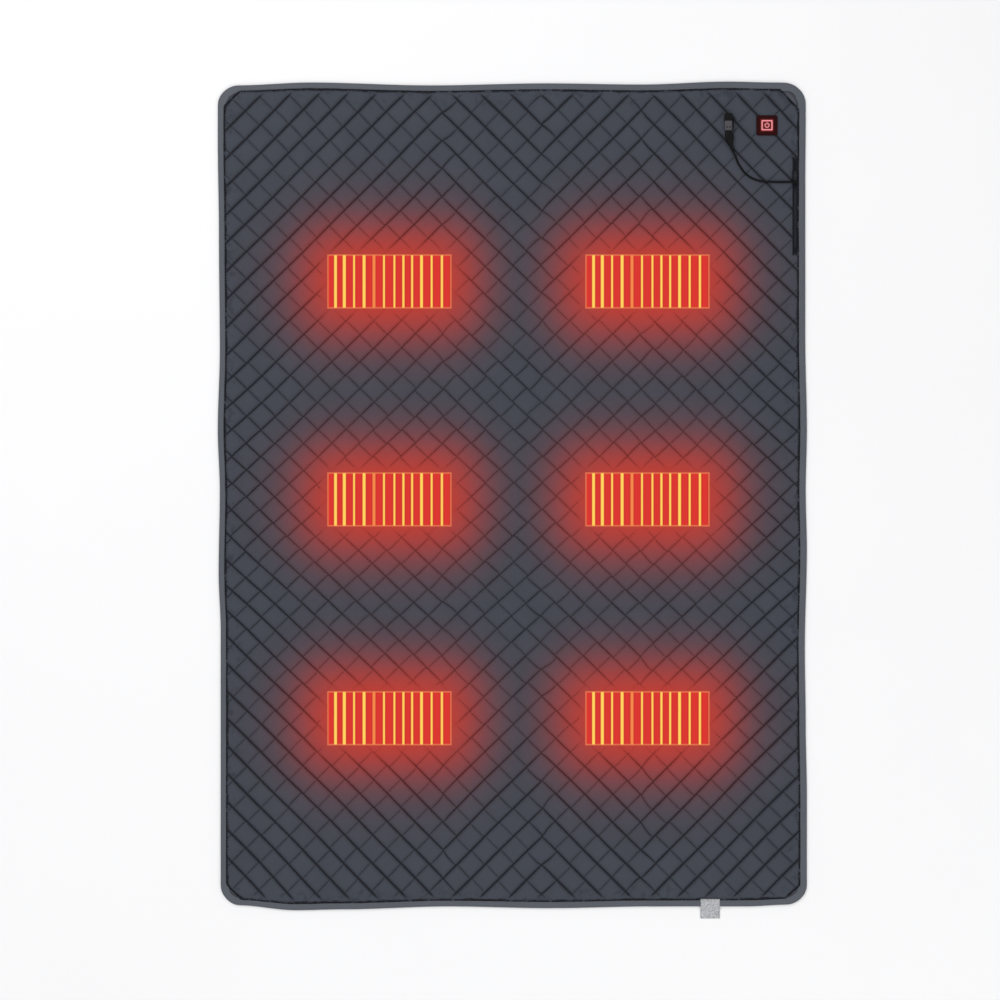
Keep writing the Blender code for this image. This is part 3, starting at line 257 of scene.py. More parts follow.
def hidden_floor(x, y):
    """The quilt stays above the pieces under it: the pocket, the lead and the controller's base."""
    floor = np.full_like(x, LOWEST_Z)
    for node in ("pocket_lining", "supply_lead", "controller_base"):
        low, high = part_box(node)
        top = high.z + 0.35 * MM
        past = smooth(2 * MM, 14 * MM, outside_box(x, y, low, high))
        floor = np.maximum(floor, top - (top - LOWEST_Z) * past)
    past_fold = smooth(FOLD_ZONE, 2 * FOLD_ZONE, np.abs(x))
    return np.maximum(floor, FOLD_LOWEST_Z - 0.8 * MM * past_fold)


def grid_place(s, t):
    return (s - t) * DIAMOND[0] / 2 + CROSSING[0], (s + t) * DIAMOND[1] / 2 + CROSSING[1]


def quilt_surface(s, t):
    """Points of the quilt from its diamond coordinates: whole numbers of s and t are its lines."""
    strip_s, strip_t = np.floor(s), np.floor(t)
    share = slash_share(*grid_place(s, t))
    near_s, near_t = np.abs(s - np.round(s)), np.abs(t - np.round(t))
    ease_s, ease_t = smooth(0, 0.08, near_s), smooth(0, 0.08, near_t)
    shift_s = JOG * scatter(strip_t, 1) * ease_t * smooth(0.35, 0.75, share)
    shift_t = JOG * scatter(strip_s, 2) * ease_s * smooth(0.35, 0.75, 1 - share)
    x, y = grid_place(s + shift_s, t + shift_t)
    x, y = x + np.interp(x, *zip(*DRIFT_X)), y + np.interp(y, *zip(*DRIFT_Y))
    x = x + 1.1 * MM * np.sin(9.1 * y + 2.3 * x + 0.4) + 0.6 * MM * np.sin(31 * y - 17 * x)
    y = y + 1.1 * MM * np.sin(8.3 * x - 3.1 * y + 1.9) + 0.6 * MM * np.sin(27 * x + 19 * y)

    inset = inset_of(x, y)
    pitch = math.hypot(*DIAMOND) / 2
    gap_s, gap_t = near_s * pitch, near_t * pitch
    # The creases are deeper to the corners and edges, and shallow over pads and at the two ends
    corner = smooth(0.30, 0.62, np.hypot(x, y - CENTRE_Y)) * CORNER_WEIGHT
    corner = corner + EDGE_WEIGHT * (1 - smooth(25 * MM, 150 * MM, inset))
    uneven_t = scatter(np.round(t) * 7 + strip_s, 3) * UNEVEN
    uneven_s = scatter(np.round(s) * 7 + strip_t, 4) * UNEVEN
    over_pad = smooth(-10 * MM, 36 * MM, pad_reach(x, y))
    end_gap = side_gaps(x, y)[1]
    near_end = smooth(BINDING_WIDTH + 3 * MM, BINDING_WIDTH + 14 * MM, end_gap)
    calm = (0.12 + 0.88 * over_pad) * (0.2 + 0.8 * near_end)
    weight_t = (LEAST + (DEEPER + corner) * share + uneven_t * ease_s) * calm
    weight_s = (LEAST + (DEEPER + corner) * (1 - share) + uneven_s * ease_t) * calm

    fs, ft = s - strip_s, t - strip_t
    dome = np.sqrt(np.clip(16 * fs * (1 - fs) * ft * (1 - ft), 0, 1))
    z = CROWN + DOME * dome
    z = z - CREASE_DEPTH * weight_s * np.exp(-gap_s / CREASE_SPREAD)
    z = z - CREASE_DEPTH * weight_t * np.exp(-gap_t / CREASE_SPREAD)
    z = np.maximum(z, hidden_floor(x, y))
    inset = seam_inset(x, y)
    z = RIM_Z + (z - RIM_Z) * smooth(0, RIM_SLOPE, inset)
    x, y = wander(x, y)
    return x, y, z, inset, gap_s, gap_t, weight_s, weight_t


def quilt_range():
    """The whole numbers of s and of t that cover the panel."""
    spare = 1.1 * DRIFT_Y[0][1]
    s, t = [], []
    for x in (-HALF_X, HALF_X):
        for y in (CENTRE_Y - HALF_Y - spare, CENTRE_Y + HALF_Y):
            a, b = (x - CROSSING[0]) / DIAMOND[0], (y - CROSSING[1]) / DIAMOND[1]
            s.append(a + b)
            t.append(b - a)
    return [(math.floor(min(v)) - 1, math.ceil(max(v)) + 1) for v in (s, t)]


# Meshes


def link(name, data, *materials):
    """Puts an object into the scene."""
    for material in materials:
        data.materials.append(material)
    obj = bpy.data.objects.new(name, data)
    bpy.context.scene.collection.objects.link(obj)
    return obj


def mesh_object(name, points, faces, material, flat=False):
    mesh = bpy.data.meshes.new(name)
    mesh.from_pydata([tuple(p) for p in points], [], [tuple(f) for f in faces])
    mesh.validate()
    mesh.update()
    if not flat:
        mesh.shade_smooth()
    return link(name, mesh, material)


def panel_map(obj):
    """A UV map that holds each point's place on the panel at rest."""
    mesh = obj.data
    layer = mesh.uv_layers.new(name="panel")
    index = np.zeros(len(mesh.loops), np.int32)
    mesh.loops.foreach_get("vertex_index", index)
    points = np.zeros(len(mesh.vertices) * 3, np.float32)
    mesh.vertices.foreach_get("co", points)
    flat = points.reshape(-1, 3)[index][:, :2] / MAP_SPAN + 0.5
    layer.data.foreach_set("uv", flat.astype(np.float32).ravel())


def point_vectors(mesh, name, *columns):
    """Stores three values with each point, for the material."""
    layer = mesh.attributes.new(name, "FLOAT_VECTOR", "POINT")
    layer.data.foreach_set("vector", np.stack(columns, axis=1).astype(np.float32).ravel())


def keep_cells(kept):
    """Faces of a grid whose four corners are kept, with the kept points renumbered."""
    number = np.full(kept.shape, -1)
    number[kept] = np.arange(kept.sum())
    a, b = number[:-1, :-1], number[1:, :-1]
    c, d = number[1:, 1:], number[:-1, 1:]
    whole = (a >= 0) & (b >= 0) & (c >= 0) & (d >= 0)
    return np.stack([a[whole], b[whole], c[whole], d[whole]], axis=1)


def round_again(size):
    """Each number below size with the one that follows it, the last with the first."""
    return [(k, (k + 1) % size) for k in range(size)]


def ring_faces(rings, size, closed=False):
    """Faces between neighbouring rings of points. A closed row joins its last ring to its first."""
    faces = []
    for i, j in round_again(rings)[:rings if closed else rings - 1]:
        for k, m in round_again(size):
            faces.append((i * size + k, i * size + m, j * size + m, j * size + k))
    return faces


def fix_normals(obj):
    bm = bmesh.new()
    bm.from_mesh(obj.data)
    bmesh.ops.recalc_face_normals(bm, faces=bm.faces)
    bm.to_mesh(obj.data)
    bm.free()


def bisect(bm, faces, place, normal):
    edges = dict.fromkeys(e for f in faces for e in f.edges)
    verts = dict.fromkeys(v for f in faces for v in f.verts)
    bmesh.ops.bisect_plane(bm, geom=[*faces, *edges, *verts], plane_co=place, plane_no=normal,
                           dist=1e-6)


def faces_within(bm, low, high, margin=0.0):
    """Faces whose middles are inside a rectangle seen from above."""
    found = []
    for face in bm.faces:
        c = face.calc_center_median()
        if all(low[i] - margin < c[i] < high[i] + margin for i in (0, 1)):
            found.append(face)
    return found


def cut_window(bm, low, high, sink=None):
    """Cuts a rectangle out of a surface. Sink takes the cut edge down to that height."""
    near, slope = 0.02, 2.5 * MM
    for normal in ((1, 0, 0), (0, 1, 0)):
        for corner in (low, high):
            bisect(bm, faces_within(bm, low, high, near), (*corner, 0), normal)
    bmesh.ops.delete(bm, geom=faces_within(bm, low, high), context="FACES")
    if sink is None:
        return
    for v in bm.verts:
        reach = max(low[0] - v.co.x, v.co.x - high[0], low[1] - v.co.y, v.co.y - high[1])
        if reach < slope:
            share = max(reach, 0) / slope
            v.co.z = sink + (v.co.z - sink) * share * share * (3 - 2 * share)


def zip_window():
    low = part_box("zip_tape_inner")[0]
    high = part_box("zip_tape_outer")[1]
    return (low.x - 0.2 * MM, low.y - 0.2 * MM), (high.x + 0.2 * MM, high.y + 0.2 * MM)


def make_quilt(material):
    (s_low, s_high), (t_low, t_high) = quilt_range()
    s = (np.arange(s_low, s_high)[:, None] + CELL_STEPS).ravel()
    t = (np.arange(t_low, t_high)[:, None] + CELL_STEPS).ravel()
    grid = np.meshgrid(s, t, indexing="ij")
    inset = quilt_surface(*grid)[3]
    kept = inset > -6 * MM
    x, y, z, inset, gap_s, gap_t, weight_s, weight_t = [v[kept] for v in quilt_surface(*grid)]
    points = np.stack([x, y, z], axis=1)
    for point, gap in zip(points, inset):
        point[2] += 0.12 * MM * noise.noise(Vector((point[0] * 70, point[1] * 70, 0)))
        if 0 < gap < PUCKER_REACH:
            size = math.sin(math.pi * (gap / PUCKER_REACH) ** 0.6) * PUCKER_DEPTH
            point[2] -= size * abs(noise.noise(Vector((point[0] * 60, point[1] * 110, 5))))
    points[:, 2] = np.maximum(points[:, 2], np.minimum(z, hidden_floor(x, y)))
    obj = mesh_object("quilted_front", points, keep_cells(kept), material)
    mesh = obj.data
    point_vectors(mesh, "lines", gap_s, gap_t, inset)
    point_vectors(mesh, "weights", weight_s, weight_t, weight_s * 0)

    bm = bmesh.new()
    bm.from_mesh(mesh)
    cut_window(bm, *zip_window(), sink=RIM_Z)
    low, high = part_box("controller_bezel")
    wall = 4.6 * MM
    cut_window(bm, (low.x + wall, low.y + wall), (high.x - wall, high.y - wall))
    for step in range(-5, 6):
        near = [f for f in bm.faces if abs(f.calc_center_median().x) < 2 * FOLD_ZONE]
        bisect(bm, near, (step * FOLD_ZONE / 5, 0, 0), (1, 0, 0))
    for vertex in [v for v in bm.verts if not v.link_faces]:
        bm.verts.remove(vertex)
    bm.to_mesh(mesh)
    bm.free()
    mesh.shade_smooth()
    panel_map(obj)
    return obj


def stitch_mesh(name, centres, directions, size, material):
    """Short raised threads, each a small closed ridge of this length, width and height."""
    length, width, height = (v * MM for v in size)
    centres, directions = np.asarray(centres), np.asarray(directions)
    along = directions / np.linalg.norm(directions, axis=1)[:, None] * length / 2
    across = np.stack([-along[:, 1], along[:, 0], along[:, 2] * 0], axis=1) * width / length
    up = np.array([0, 0, height])
    down = np.array([0, 0, height * 0.4])
    rows = [centres - along - across - down, centres + along - across - down,
            centres + along + across - down, centres - along + across - down,
            centres - along * 0.72 + up, centres + along * 0.72 + up]
    points = np.stack(rows, axis=1).reshape(-1, 3)
    first = np.arange(len(centres))[:, None] * 6
    quads = np.concatenate([first + [0, 3, 2, 1], first + [0, 1, 5, 4], first + [2, 3, 4, 5]])
    ends = np.concatenate([first + [1, 2, 5], first + [3, 0, 4]])
    return mesh_object(name, points, [*quads.tolist(), *ends.tolist()], material)


def make_quilting(material):
    """The stitches along every line of the diamonds."""
    s_range, t_range = quilt_range()
    per_side, step = 7, 0.02
    low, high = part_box("controller_bezel")
    windows = [((low.x, low.y), (high.x, high.y)), zip_window()]
    margin = 1.5 * MM
    centres, directions = [], []
    for flip in (False, True):
        across, along = (t_range, s_range) if flip else (s_range, t_range)
        fixed = np.arange(*across, dtype=float)
        run = np.arange(*along, 1 / per_side) + 0.5 / per_side
        a, b = [g.ravel() for g in np.meshgrid(fixed, run, indexing="ij")]
        middle, before, after = [quilt_surface(*((b + d, a) if flip else (a, b + d)))[:4]
                                 for d in (0, -step, step)]
        x, y, z, inset = middle
        ok = (inset > 2.6 * MM) & (pad_reach(x, y) > 12 * MM)
        ok &= side_gaps(x, y)[1] > BINDING_WIDTH + 9 * MM
        for (x0, y0), (x1, y1) in windows:
            ok &= ~((x > x0 - margin) & (x < x1 + margin) & (y > y0 - margin) & (y < y1 + margin))
        centres.append(np.stack([x[ok], y[ok], z[ok] + 0.1 * MM], axis=1))
        ends = [np.stack([v[ok] for v in end[:3]], axis=1) for end in (before, after)]
        directions.append(ends[1] - ends[0])
    return stitch_mesh("quilting_thread", np.concatenate(centres), np.concatenate(directions),
                       (3.3, 0.75, 0.3), material)


# Binding and back


def outline_stations(step, fold_step=None):
    """(point, outward normal, distance along) round the straight outline, closer at the fold."""
    straight_x, straight_y = HALF_X - CORNER, HALF_Y - CORNER
    quarter = CORNER * math.pi / 2
    rows, run = [], 0.0
    parts = [((HALF_X, -straight_y), (HALF_X, straight_y), (straight_x, straight_y), 0),
             ((straight_x, HALF_Y), (-straight_x, HALF_Y), (-straight_x, straight_y), 90),
             ((-HALF_X, straight_y), (-HALF_X, -straight_y), (-straight_x, -straight_y), 180),
             ((-straight_x, -HALF_Y), (straight_x, -HALF_Y), (straight_x, -straight_y), 270)]
    for start, end, centre, turn in parts:
        a, b = Vector(start), Vector(end)
        normal = Vector((math.cos(math.radians(turn)), math.sin(math.radians(turn))))
        length = (b - a).length
        count = round(length / step)
        places = {length * i / count for i in range(count)}
        if turn in (90, 270) and fold_step:
            middle = {length / 2 + k * fold_step for k in range(-12, 13)}
            places = {d for d in places if abs(d - length / 2) > 13.5 * fold_step} | middle
        rows += [(a.lerp(b, d / length), normal, run + d) for d in sorted(places)]
        run += length
        count = max(10, round(quarter / step))
        for i in range(count):
            angle = math.radians(turn + 90 * i / count)
            out = Vector((math.cos(angle), math.sin(angle)))
            rows.append((Vector(centre) + out * CORNER, out, run + quarter * i / count))
        run += quarter
    return [(Vector((p.x, p.y + CENTRE_Y)), n, d) for p, n, d in rows], run


def make_binding(material):
    stations, total = outline_stations(4.5 * MM, fold_step=1.1 * MM)
    profile = [(a * MM, b * MM) for a, b in BINDING_TOP + BINDING_INSIDE]
    size, count = len(profile), len(stations)
    points, depths = [], []
    for place, normal, along in stations:
        turn = along / total * 2 * math.pi
        loop = Vector((math.cos(turn), math.sin(turn))) * total / (2 * math.pi)
        pull = noise.noise(Vector((loop.x * 55, loop.y * 55, 3.0)))
        width = binding_width(place, normal) / BINDING_WIDTH
        for k, (inset, height) in enumerate(profile):
            deep = inset * width if k < STRETCHED or k > size - STRETCHED else inset
            if k < STRETCHED or k > size - 3:
                deep += 0.35 * MM * pull
                ripple = noise.noise(Vector((loop.x * 95, loop.y * 95, inset * 130)))
                height += 0.28 * MM * ripple
            p = place - normal * deep
            points.append((p.x, p.y, max(height, 0.02 * MM)))
            depths.append(deep)
    faces = [f[1:] + f[:1] for f in ring_faces(count, size, closed=True)]
    obj = mesh_object("edge_tape", wander_points(points), faces, material)
    depth = obj.data.attributes.new("depth", "FLOAT", "POINT")
    depth.data.foreach_set("value", np.array(depths, np.float32))
    layer = obj.data.uv_layers.new(name="tape")
    lengths = [d for _, _, d in stations] + [total]
    uvs = []
    for polygon in obj.data.polygons:
        i, k = divmod(polygon.index, size)
        for loop_index in polygon.loop_indices:
            at, row = divmod(obj.data.loops[loop_index].vertex_index, size)
            along = lengths[i + 1] if i == count - 1 and at == 0 else lengths[at]
            across = size if k == size - 1 and row == 0 else row
            uvs += [along / TAPE_SPAN, across * 0.0016 + 0.2]
    layer.data.foreach_set("uv", uvs)
    return obj


def make_edge_seam(material):
    """The seam that holds the binding: stitches in the groove beside it, a few of them lost."""
    centres, directions = [], []
    for i, (place, normal, _) in enumerate(outline_stations(5.2 * MM)[0]):
        if scatter(i, 6) < -0.72:
            continue
        inset = binding_width(place, normal) + 1.1 * MM + 0.4 * MM * float(scatter(i, 5))
        p = place - normal * inset
        side = Vector((-normal.y, normal.x)) + normal * 0.12 * float(scatter(i, 7))
        centres.append((p.x, p.y, 4.15 * MM))
        directions.append((side.x, side.y, 0))
    return stitch_mesh("edge_seam", wander_points(centres), directions, (4.2, 2.7, 0.45), material)


def make_back(material):
    """The plain cloth underneath, with closer columns where it bends at the fold."""
    step = 6 * MM
    xs = np.arange(-round(HALF_X / step), round(HALF_X / step) + 1) * step
    xs = np.concatenate([xs[np.abs(xs) > 2 * step], np.linspace(-2 * step, 2 * step, 23)])
    xs.sort()
    ys = np.arange(-round(HALF_Y / step), round(HALF_Y / step) + 1) * step + CENTRE_Y
    x, y = np.meshgrid(xs, ys, indexing="ij")
    inset = inset_of(x, y)
    kept = inset > 2.2 * MM
    x, y = wander(x, y)
    points = np.stack([x[kept], y[kept], x[kept] * 0], axis=1)
    for point, share in zip(points, smooth(8 * MM, 40 * MM, inset[kept])):
        wave = noise.noise(Vector((point[0] * 9, point[1] * 9, 7))) * 0.5 + 0.5
        fine = noise.noise(Vector((point[0] * 38, point[1] * 38, 2))) * 0.5 + 0.5
        point[2] = (0.12 + share * (0.35 * wave + 0.2 * fine)) * MM
    obj = mesh_object("back_cloth", points, keep_cells(kept)[:, ::-1], material)
    panel_map(obj)
    return obj


# Zip and label


def on_right(obj, slot, *nodes):
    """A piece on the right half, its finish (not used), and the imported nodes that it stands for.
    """
    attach(obj, "right_half")
    if nodes:
        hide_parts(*nodes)
    return obj


def make_zip(tape_cloth, nylon):
    """Both tapes and their teeth, open below the slider."""
    low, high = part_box("zip_tape_inner")
    outer_low, outer_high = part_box("zip_tape_outer")
    centre = (high.x + outer_low.x) / 2
    top, bottom = high.y, low.y
    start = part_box("zip_slider")[0].y + 2 * MM
    count, pitch = 84, 1.5 * MM
    section = ((0, 3.65), (0.35, 3.62), (0.8, 3.6), (1, 3.5), (1, 3.2), (0, 3.25))

    def spread(y):
        opening = smooth(0, 26 * MM, start - y) * smooth(0, 16 * MM, y - (bottom + 3 * MM))
        return 0.25 * MM + 1.55 * MM * float(opening)

    for name, sign, far in (("inner", -1, low.x), ("outer", 1, outer_high.x)):
        points = []
        for i in range(count + 1):
            y = bottom + (top - bottom) * i / count
            near = centre + sign * (spread(y) + 0.35 * MM)
            lift = 0.35 * MM * float(smooth(0, 1.2 * MM, spread(y) - 0.25 * MM))
            for share, height in section:
                x = near + (far - near) * share
                points.append((x, y, height * MM + (lift if share == 0 else 0)))
        faces = [f[::sign] for f in ring_faces(count + 1, 6)]
        faces += [tuple(range(6)), tuple(count * 6 + k for k in reversed(range(6)))]
        tape = mesh_object(f"zip_cloth_{name}", points, faces, tape_cloth, flat=True)
        on_right(tape, "zip_tape", f"zip_tape_{name}")

        points, faces = [], []
        first = bottom + 4.5 * MM + (0 if sign < 0 else pitch / 2)
        for i in range(int((top - 4.5 * MM - first) / pitch) + 1):
            y = first + i * pitch
            root = centre + sign * (spread(y) + 1.1 * MM)
            tip = centre + sign * (spread(y) - 0.25 * MM - 0.25 * MM)
            base = len(points)
            for x, wide, z0, z1 in ((root, 0.42, 3.7, 4.6), (tip, 0.34, 3.9, 4.5)):
                for dy, z in ((-wide, z0), (wide, z0), (wide * 0.7, z1), (-wide * 0.7, z1)):
                    points.append((x, y + dy * MM, z * MM))
            block = [(0, 1, 2, 3), (7, 6, 5, 4)]
            block += [(m, k, 4 + k, 4 + m) for k, m in round_again(4)]
            faces += [tuple(base + v for v in face) for face in block]
        teeth = mesh_object(f"zip_teeth_{name}", points, faces, nylon, flat=True)
        fix_normals(teeth)
        on_right(teeth, "zip_coil", f"zip_coil_{name}")


def make_label(material, thread):
    """The care label, sewn on over the binding and lying on the floor past it, blank."""
    low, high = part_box("care_label")
    seam = high.y
    edge = CENTRE_Y - HALF_Y
    # Places along the label and their heights in mm, most of them measured from the edge
    drop = [(3, 5.2), (-0.5, 4.9), (-3, 3.6), (-6, 2.2), (-9, 1.35), (-12, 0.95), (-15, 0.85),
            (-18, 1.0), (-20, 1.1)]
    stations = [(seam, 5.3), (seam - 3 * MM, 5.3), *((edge + a * MM, z) for a, z in drop),
                (low.y + 3.5 * MM, 0.9)]
    across, thick = 10, 0.3 * MM
    points, faces = [], []
    for top in (True, False):
        for i, (y, z) in enumerate(stations):
            for k in range(across + 1):
                u = k / across
                x = low.x + (high.x - low.x) * u
                free = max(0.0, (seam - y) / (seam - low.y) - 0.4)
                curl = free * (0.9 * (2 * u - 1) ** 2 + 0.25 * math.sin(u * 7 + i)) * MM
                points.append((x, y, max(z * MM + curl - (0 if top else thick), 0.03 * MM)))
    rows, size = len(stations), across + 1
    half = rows * size
    for i in range(rows - 1):
        for k in range(across):
            a = i * size + k
            faces.append((a, a + size, a + size + 1, a + 1))
            faces.append((half + a, half + a + 1, half + a + size + 1, half + a + size))
    ring = [*range(size), *(i * size + across for i in range(1, rows)),
            *((rows - 1) * size + k for k in reversed(range(across))),
            *(i * size for i in range(rows - 2, 0, -1))]
    for a, b in zip(ring, ring[1:] + ring[:1]):
        faces.append((a, b, half + b, half + a))
    label = mesh_object("label_cloth", points, faces, material)
    fix_normals(label)
    on_right(label, "label_cloth", "care_label")
    centres = [(low.x + 1.8 * MM + i * 3.1 * MM, seam - 1.4 * MM, 5.35 * MM) for i in range(10)]
    directions = [(1, 0, 0)] * len(centres)
    seam_row = stitch_mesh("label_seam", centres, directions, (2.2, 0.6, 0.2), thread)
    on_right(seam_row, "label_cloth")


# Cord and plug


def smooth_route(points, samples):
    """Even samples of a Catmull-Rom curve through points."""
    ends = [points[0] * 2 - points[1], *points, points[-1] * 2 - points[-2]]
    fine = []
    for p0, p1, p2, p3 in zip(ends, ends[1:], ends[2:], ends[3:]):
        for i in range(16):
            t = i / 16
            fine.append(0.5 * (2 * p1 + (p2 - p0) * t + (2 * p0 - 5 * p1 + 4 * p2 - p3) * t * t
                               + (3 * p1 - p0 - 3 * p2 + p3) * t ** 3))
    fine.append(points[-1])
    lengths = [0.0]
    for a, b in zip(fine, fine[1:]):
        lengths.append(lengths[-1] + (b - a).length)
    even = []
    for i in range(samples):
        target = lengths[-1] * i / (samples - 1)
        j = max(k for k in range(len(fine) - 1) if lengths[k] <= target)
        share = (target - lengths[j]) / (lengths[j + 1] - lengths[j])
        even.append(fine[j].lerp(fine[j + 1], share))
    return even


def make_cord(material):
    """The lead from the plug's tail to the zip, and the point where it goes in."""
    top = CENTRE_Y + HALF_Y
    route = [Vector((HALF_X - a * MM, top - b * MM, CORD_Z)) for a, b in CORD_ROUTE]
    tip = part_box("cord_grommet")[0].x
    for back, rise in ((8.3, CORD_DROP), (3.0, 0.25 * MM), (0.3, 0)):
        route.append(Vector((tip - back * MM, route[-1].y, CORD_Z - CORD_DROP + rise)))
    points = smooth_route(route, 36)
    curve = bpy.data.curves.new("usb_lead", "CURVE")
    curve.dimensions = "3D"
    curve.bevel_depth = CORD_DIAMETER / 2
    curve.bevel_resolution = 5
    curve.use_fill_caps = True
    spline = curve.splines.new("POLY")
    spline.points.add(len(points) - 1)
    for point, place in zip(spline.points, points):
        point.co = (*place, 1.0)
    spline.use_smooth = True
    return on_right(link("usb_lead", curve, material), "black_rubber", "usb_cord"), points[-1]


def rounded_ring(centre, forward, half_width, half_height, radius):
    """Points round a rounded rectangle that faces forward."""
    steps = 6  # round each corner
    forward = Vector(forward).normalized()
    side = forward.cross(Vector((0, 0, 1))).normalized()
    up = side.cross(forward)
    points = []
    for sx, sy, start in ((1, 1, 0), (-1, 1, 90), (-1, -1, 180), (1, -1, 270)):
        for i in range(steps + 1):
            a = math.radians(start + 90 * i / steps)
            u = sx * (half_width - radius) + radius * math.cos(a)
            v = sy * (half_height - radius) + radius * math.sin(a)
            points.append(Vector(centre) + side * u + up * v)
    return points


def make_plug(material):
    """The overmould, from its square face through a swollen grip to its narrow tail."""
    shell_low, shell_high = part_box("usb_shell")
    x, z = (shell_low.x + shell_high.x) / 2, (shell_low.z + shell_high.z) / 2
    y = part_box("usb_plug_body")[1].y
    drop = z - CORD_Z
    # Distance back and to the right, half width and half height in mm, and share of the drop
    path = [(0, 0, 4.3, 3.0, 0), (0.5, 0.05, 4.8, 3.4, 0), (1.6, 0.2, 5.3, 3.65, 0),
            (4, 0.6, 6.3, 3.7, 0), (7, 1.1, 7.2, 3.7, 0), (10, 1.6, 7.5, 3.65, 0),
            (13, 2.15, 7.1, 3.5, 0.04), (16, 2.7, 6.2, 3.2, 0.14), (19, 3.25, 5.1, 2.85, 0.3),
            (22, 3.85, 4.1, 2.5, 0.46), (25, 4.5, 3.25, 2.25, 0.62), (28, 5.3, 2.6, 2.1, 0.75),
            (31, 6.3, 2.25, 2.0, 0.86), (35, 7.95, 2.0, 1.9, 0.96), (38.0, 9.35, 1.95, 1.85, 1.0)]
    centres = [Vector((x + b * MM, y - a * MM, z - e * drop)) for a, b, _, _, e in path]
    points = []
    for i, (a, _, c, d, _) in enumerate(path):
        before, after = centres[max(i - 1, 0)], centres[min(i + 1, len(path) - 1)]
        forward = Vector((0, -1, 0)) if a < 6 else after - before
        points += rounded_ring(centres[i], forward, c * MM, d * MM, min(c, d) * 0.82 * MM)
    size, last = len(points) // len(path), len(points) - len(points) // len(path)
    faces = ring_faces(len(path), size)
    faces += [tuple(range(size)), tuple(range(last, last + size))]
    plug = mesh_object("plug_overmould", points, faces, material)
    fix_normals(plug)
    plug.data.shade_smooth()
    plug.data.set_sharp_from_angle(angle=math.radians(40))
    return on_right(plug, "black_rubber", "usb_plug_body")


def make_shell(material):
    """The folded metal shell, open at its tip, with its two square windows on top and two below."""
    low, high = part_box("usb_shell")
    x, z = (low.x + high.x) / 2, (low.z + high.z) / 2
    half_width, half_height = (high.x - low.x) / 2, (high.z - low.z) / 2
    wall, bend, window = 0.35 * MM, 0.5 * MM, 2.4 * MM
    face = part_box("usb_plug_body")[1].y
    stops = [low.y, face + 4.6 * MM, face + 4.6 * MM + window, high.y - 0.4 * MM, high.y]
    first = -half_width + 2.2 * MM
    columns = [-half_width + bend, first, first + window]
    columns += [-v for v in reversed(columns)]
    points, faces, rings = [], [], []
    for y in stops:
        flare = 0.12 * MM if y == high.y else 0
        for inner in (0, 1):
            w = half_width - inner * wall + flare * inner
            h = half_height - inner * wall + flare * inner
            ring = []
            for side, run in ((1, columns), (-1, columns[::-1])):
                ring.append((side * -w, side * (h - bend)))
                ring += [(v, side * h) for v in run]
                ring.append((side * w, side * (h - bend)))
            rings.append(len(points))
            points += [(x + u, y, z + v) for u, v in ring]
    size = len(ring)
    open_columns = {2, 4, 10, 12}
    for i in range(len(stops) - 1):
        outer, inner, outer2, inner2 = rings[2 * i:2 * i + 4]
        for k, m in round_again(size):
            if i == 1 and k in open_columns:
                faces += [(outer + k, outer2 + k, inner2 + k, inner + k),
                          (outer + m, inner + m, inner2 + m, outer2 + m),
                          (outer + k, inner + k, inner + m, outer + m),
                          (outer2 + k, outer2 + m, inner2 + m, inner2 + k)]
                continue
            faces.append((outer + k, outer + m, outer2 + m, outer2 + k))
            faces.append((inner + k, inner2 + k, inner2 + m, inner + m))
    for outer, inner in (rings[:2], rings[-2:]):
        for k, m in round_again(size):
            faces.append((outer + k, inner + k, inner + m, outer + m))
    shell = mesh_object("plug_shell", points, faces, material, flat=True)
    fix_normals(shell)
    return on_right(shell, "plug_metal", "usb_shell")


# Materials


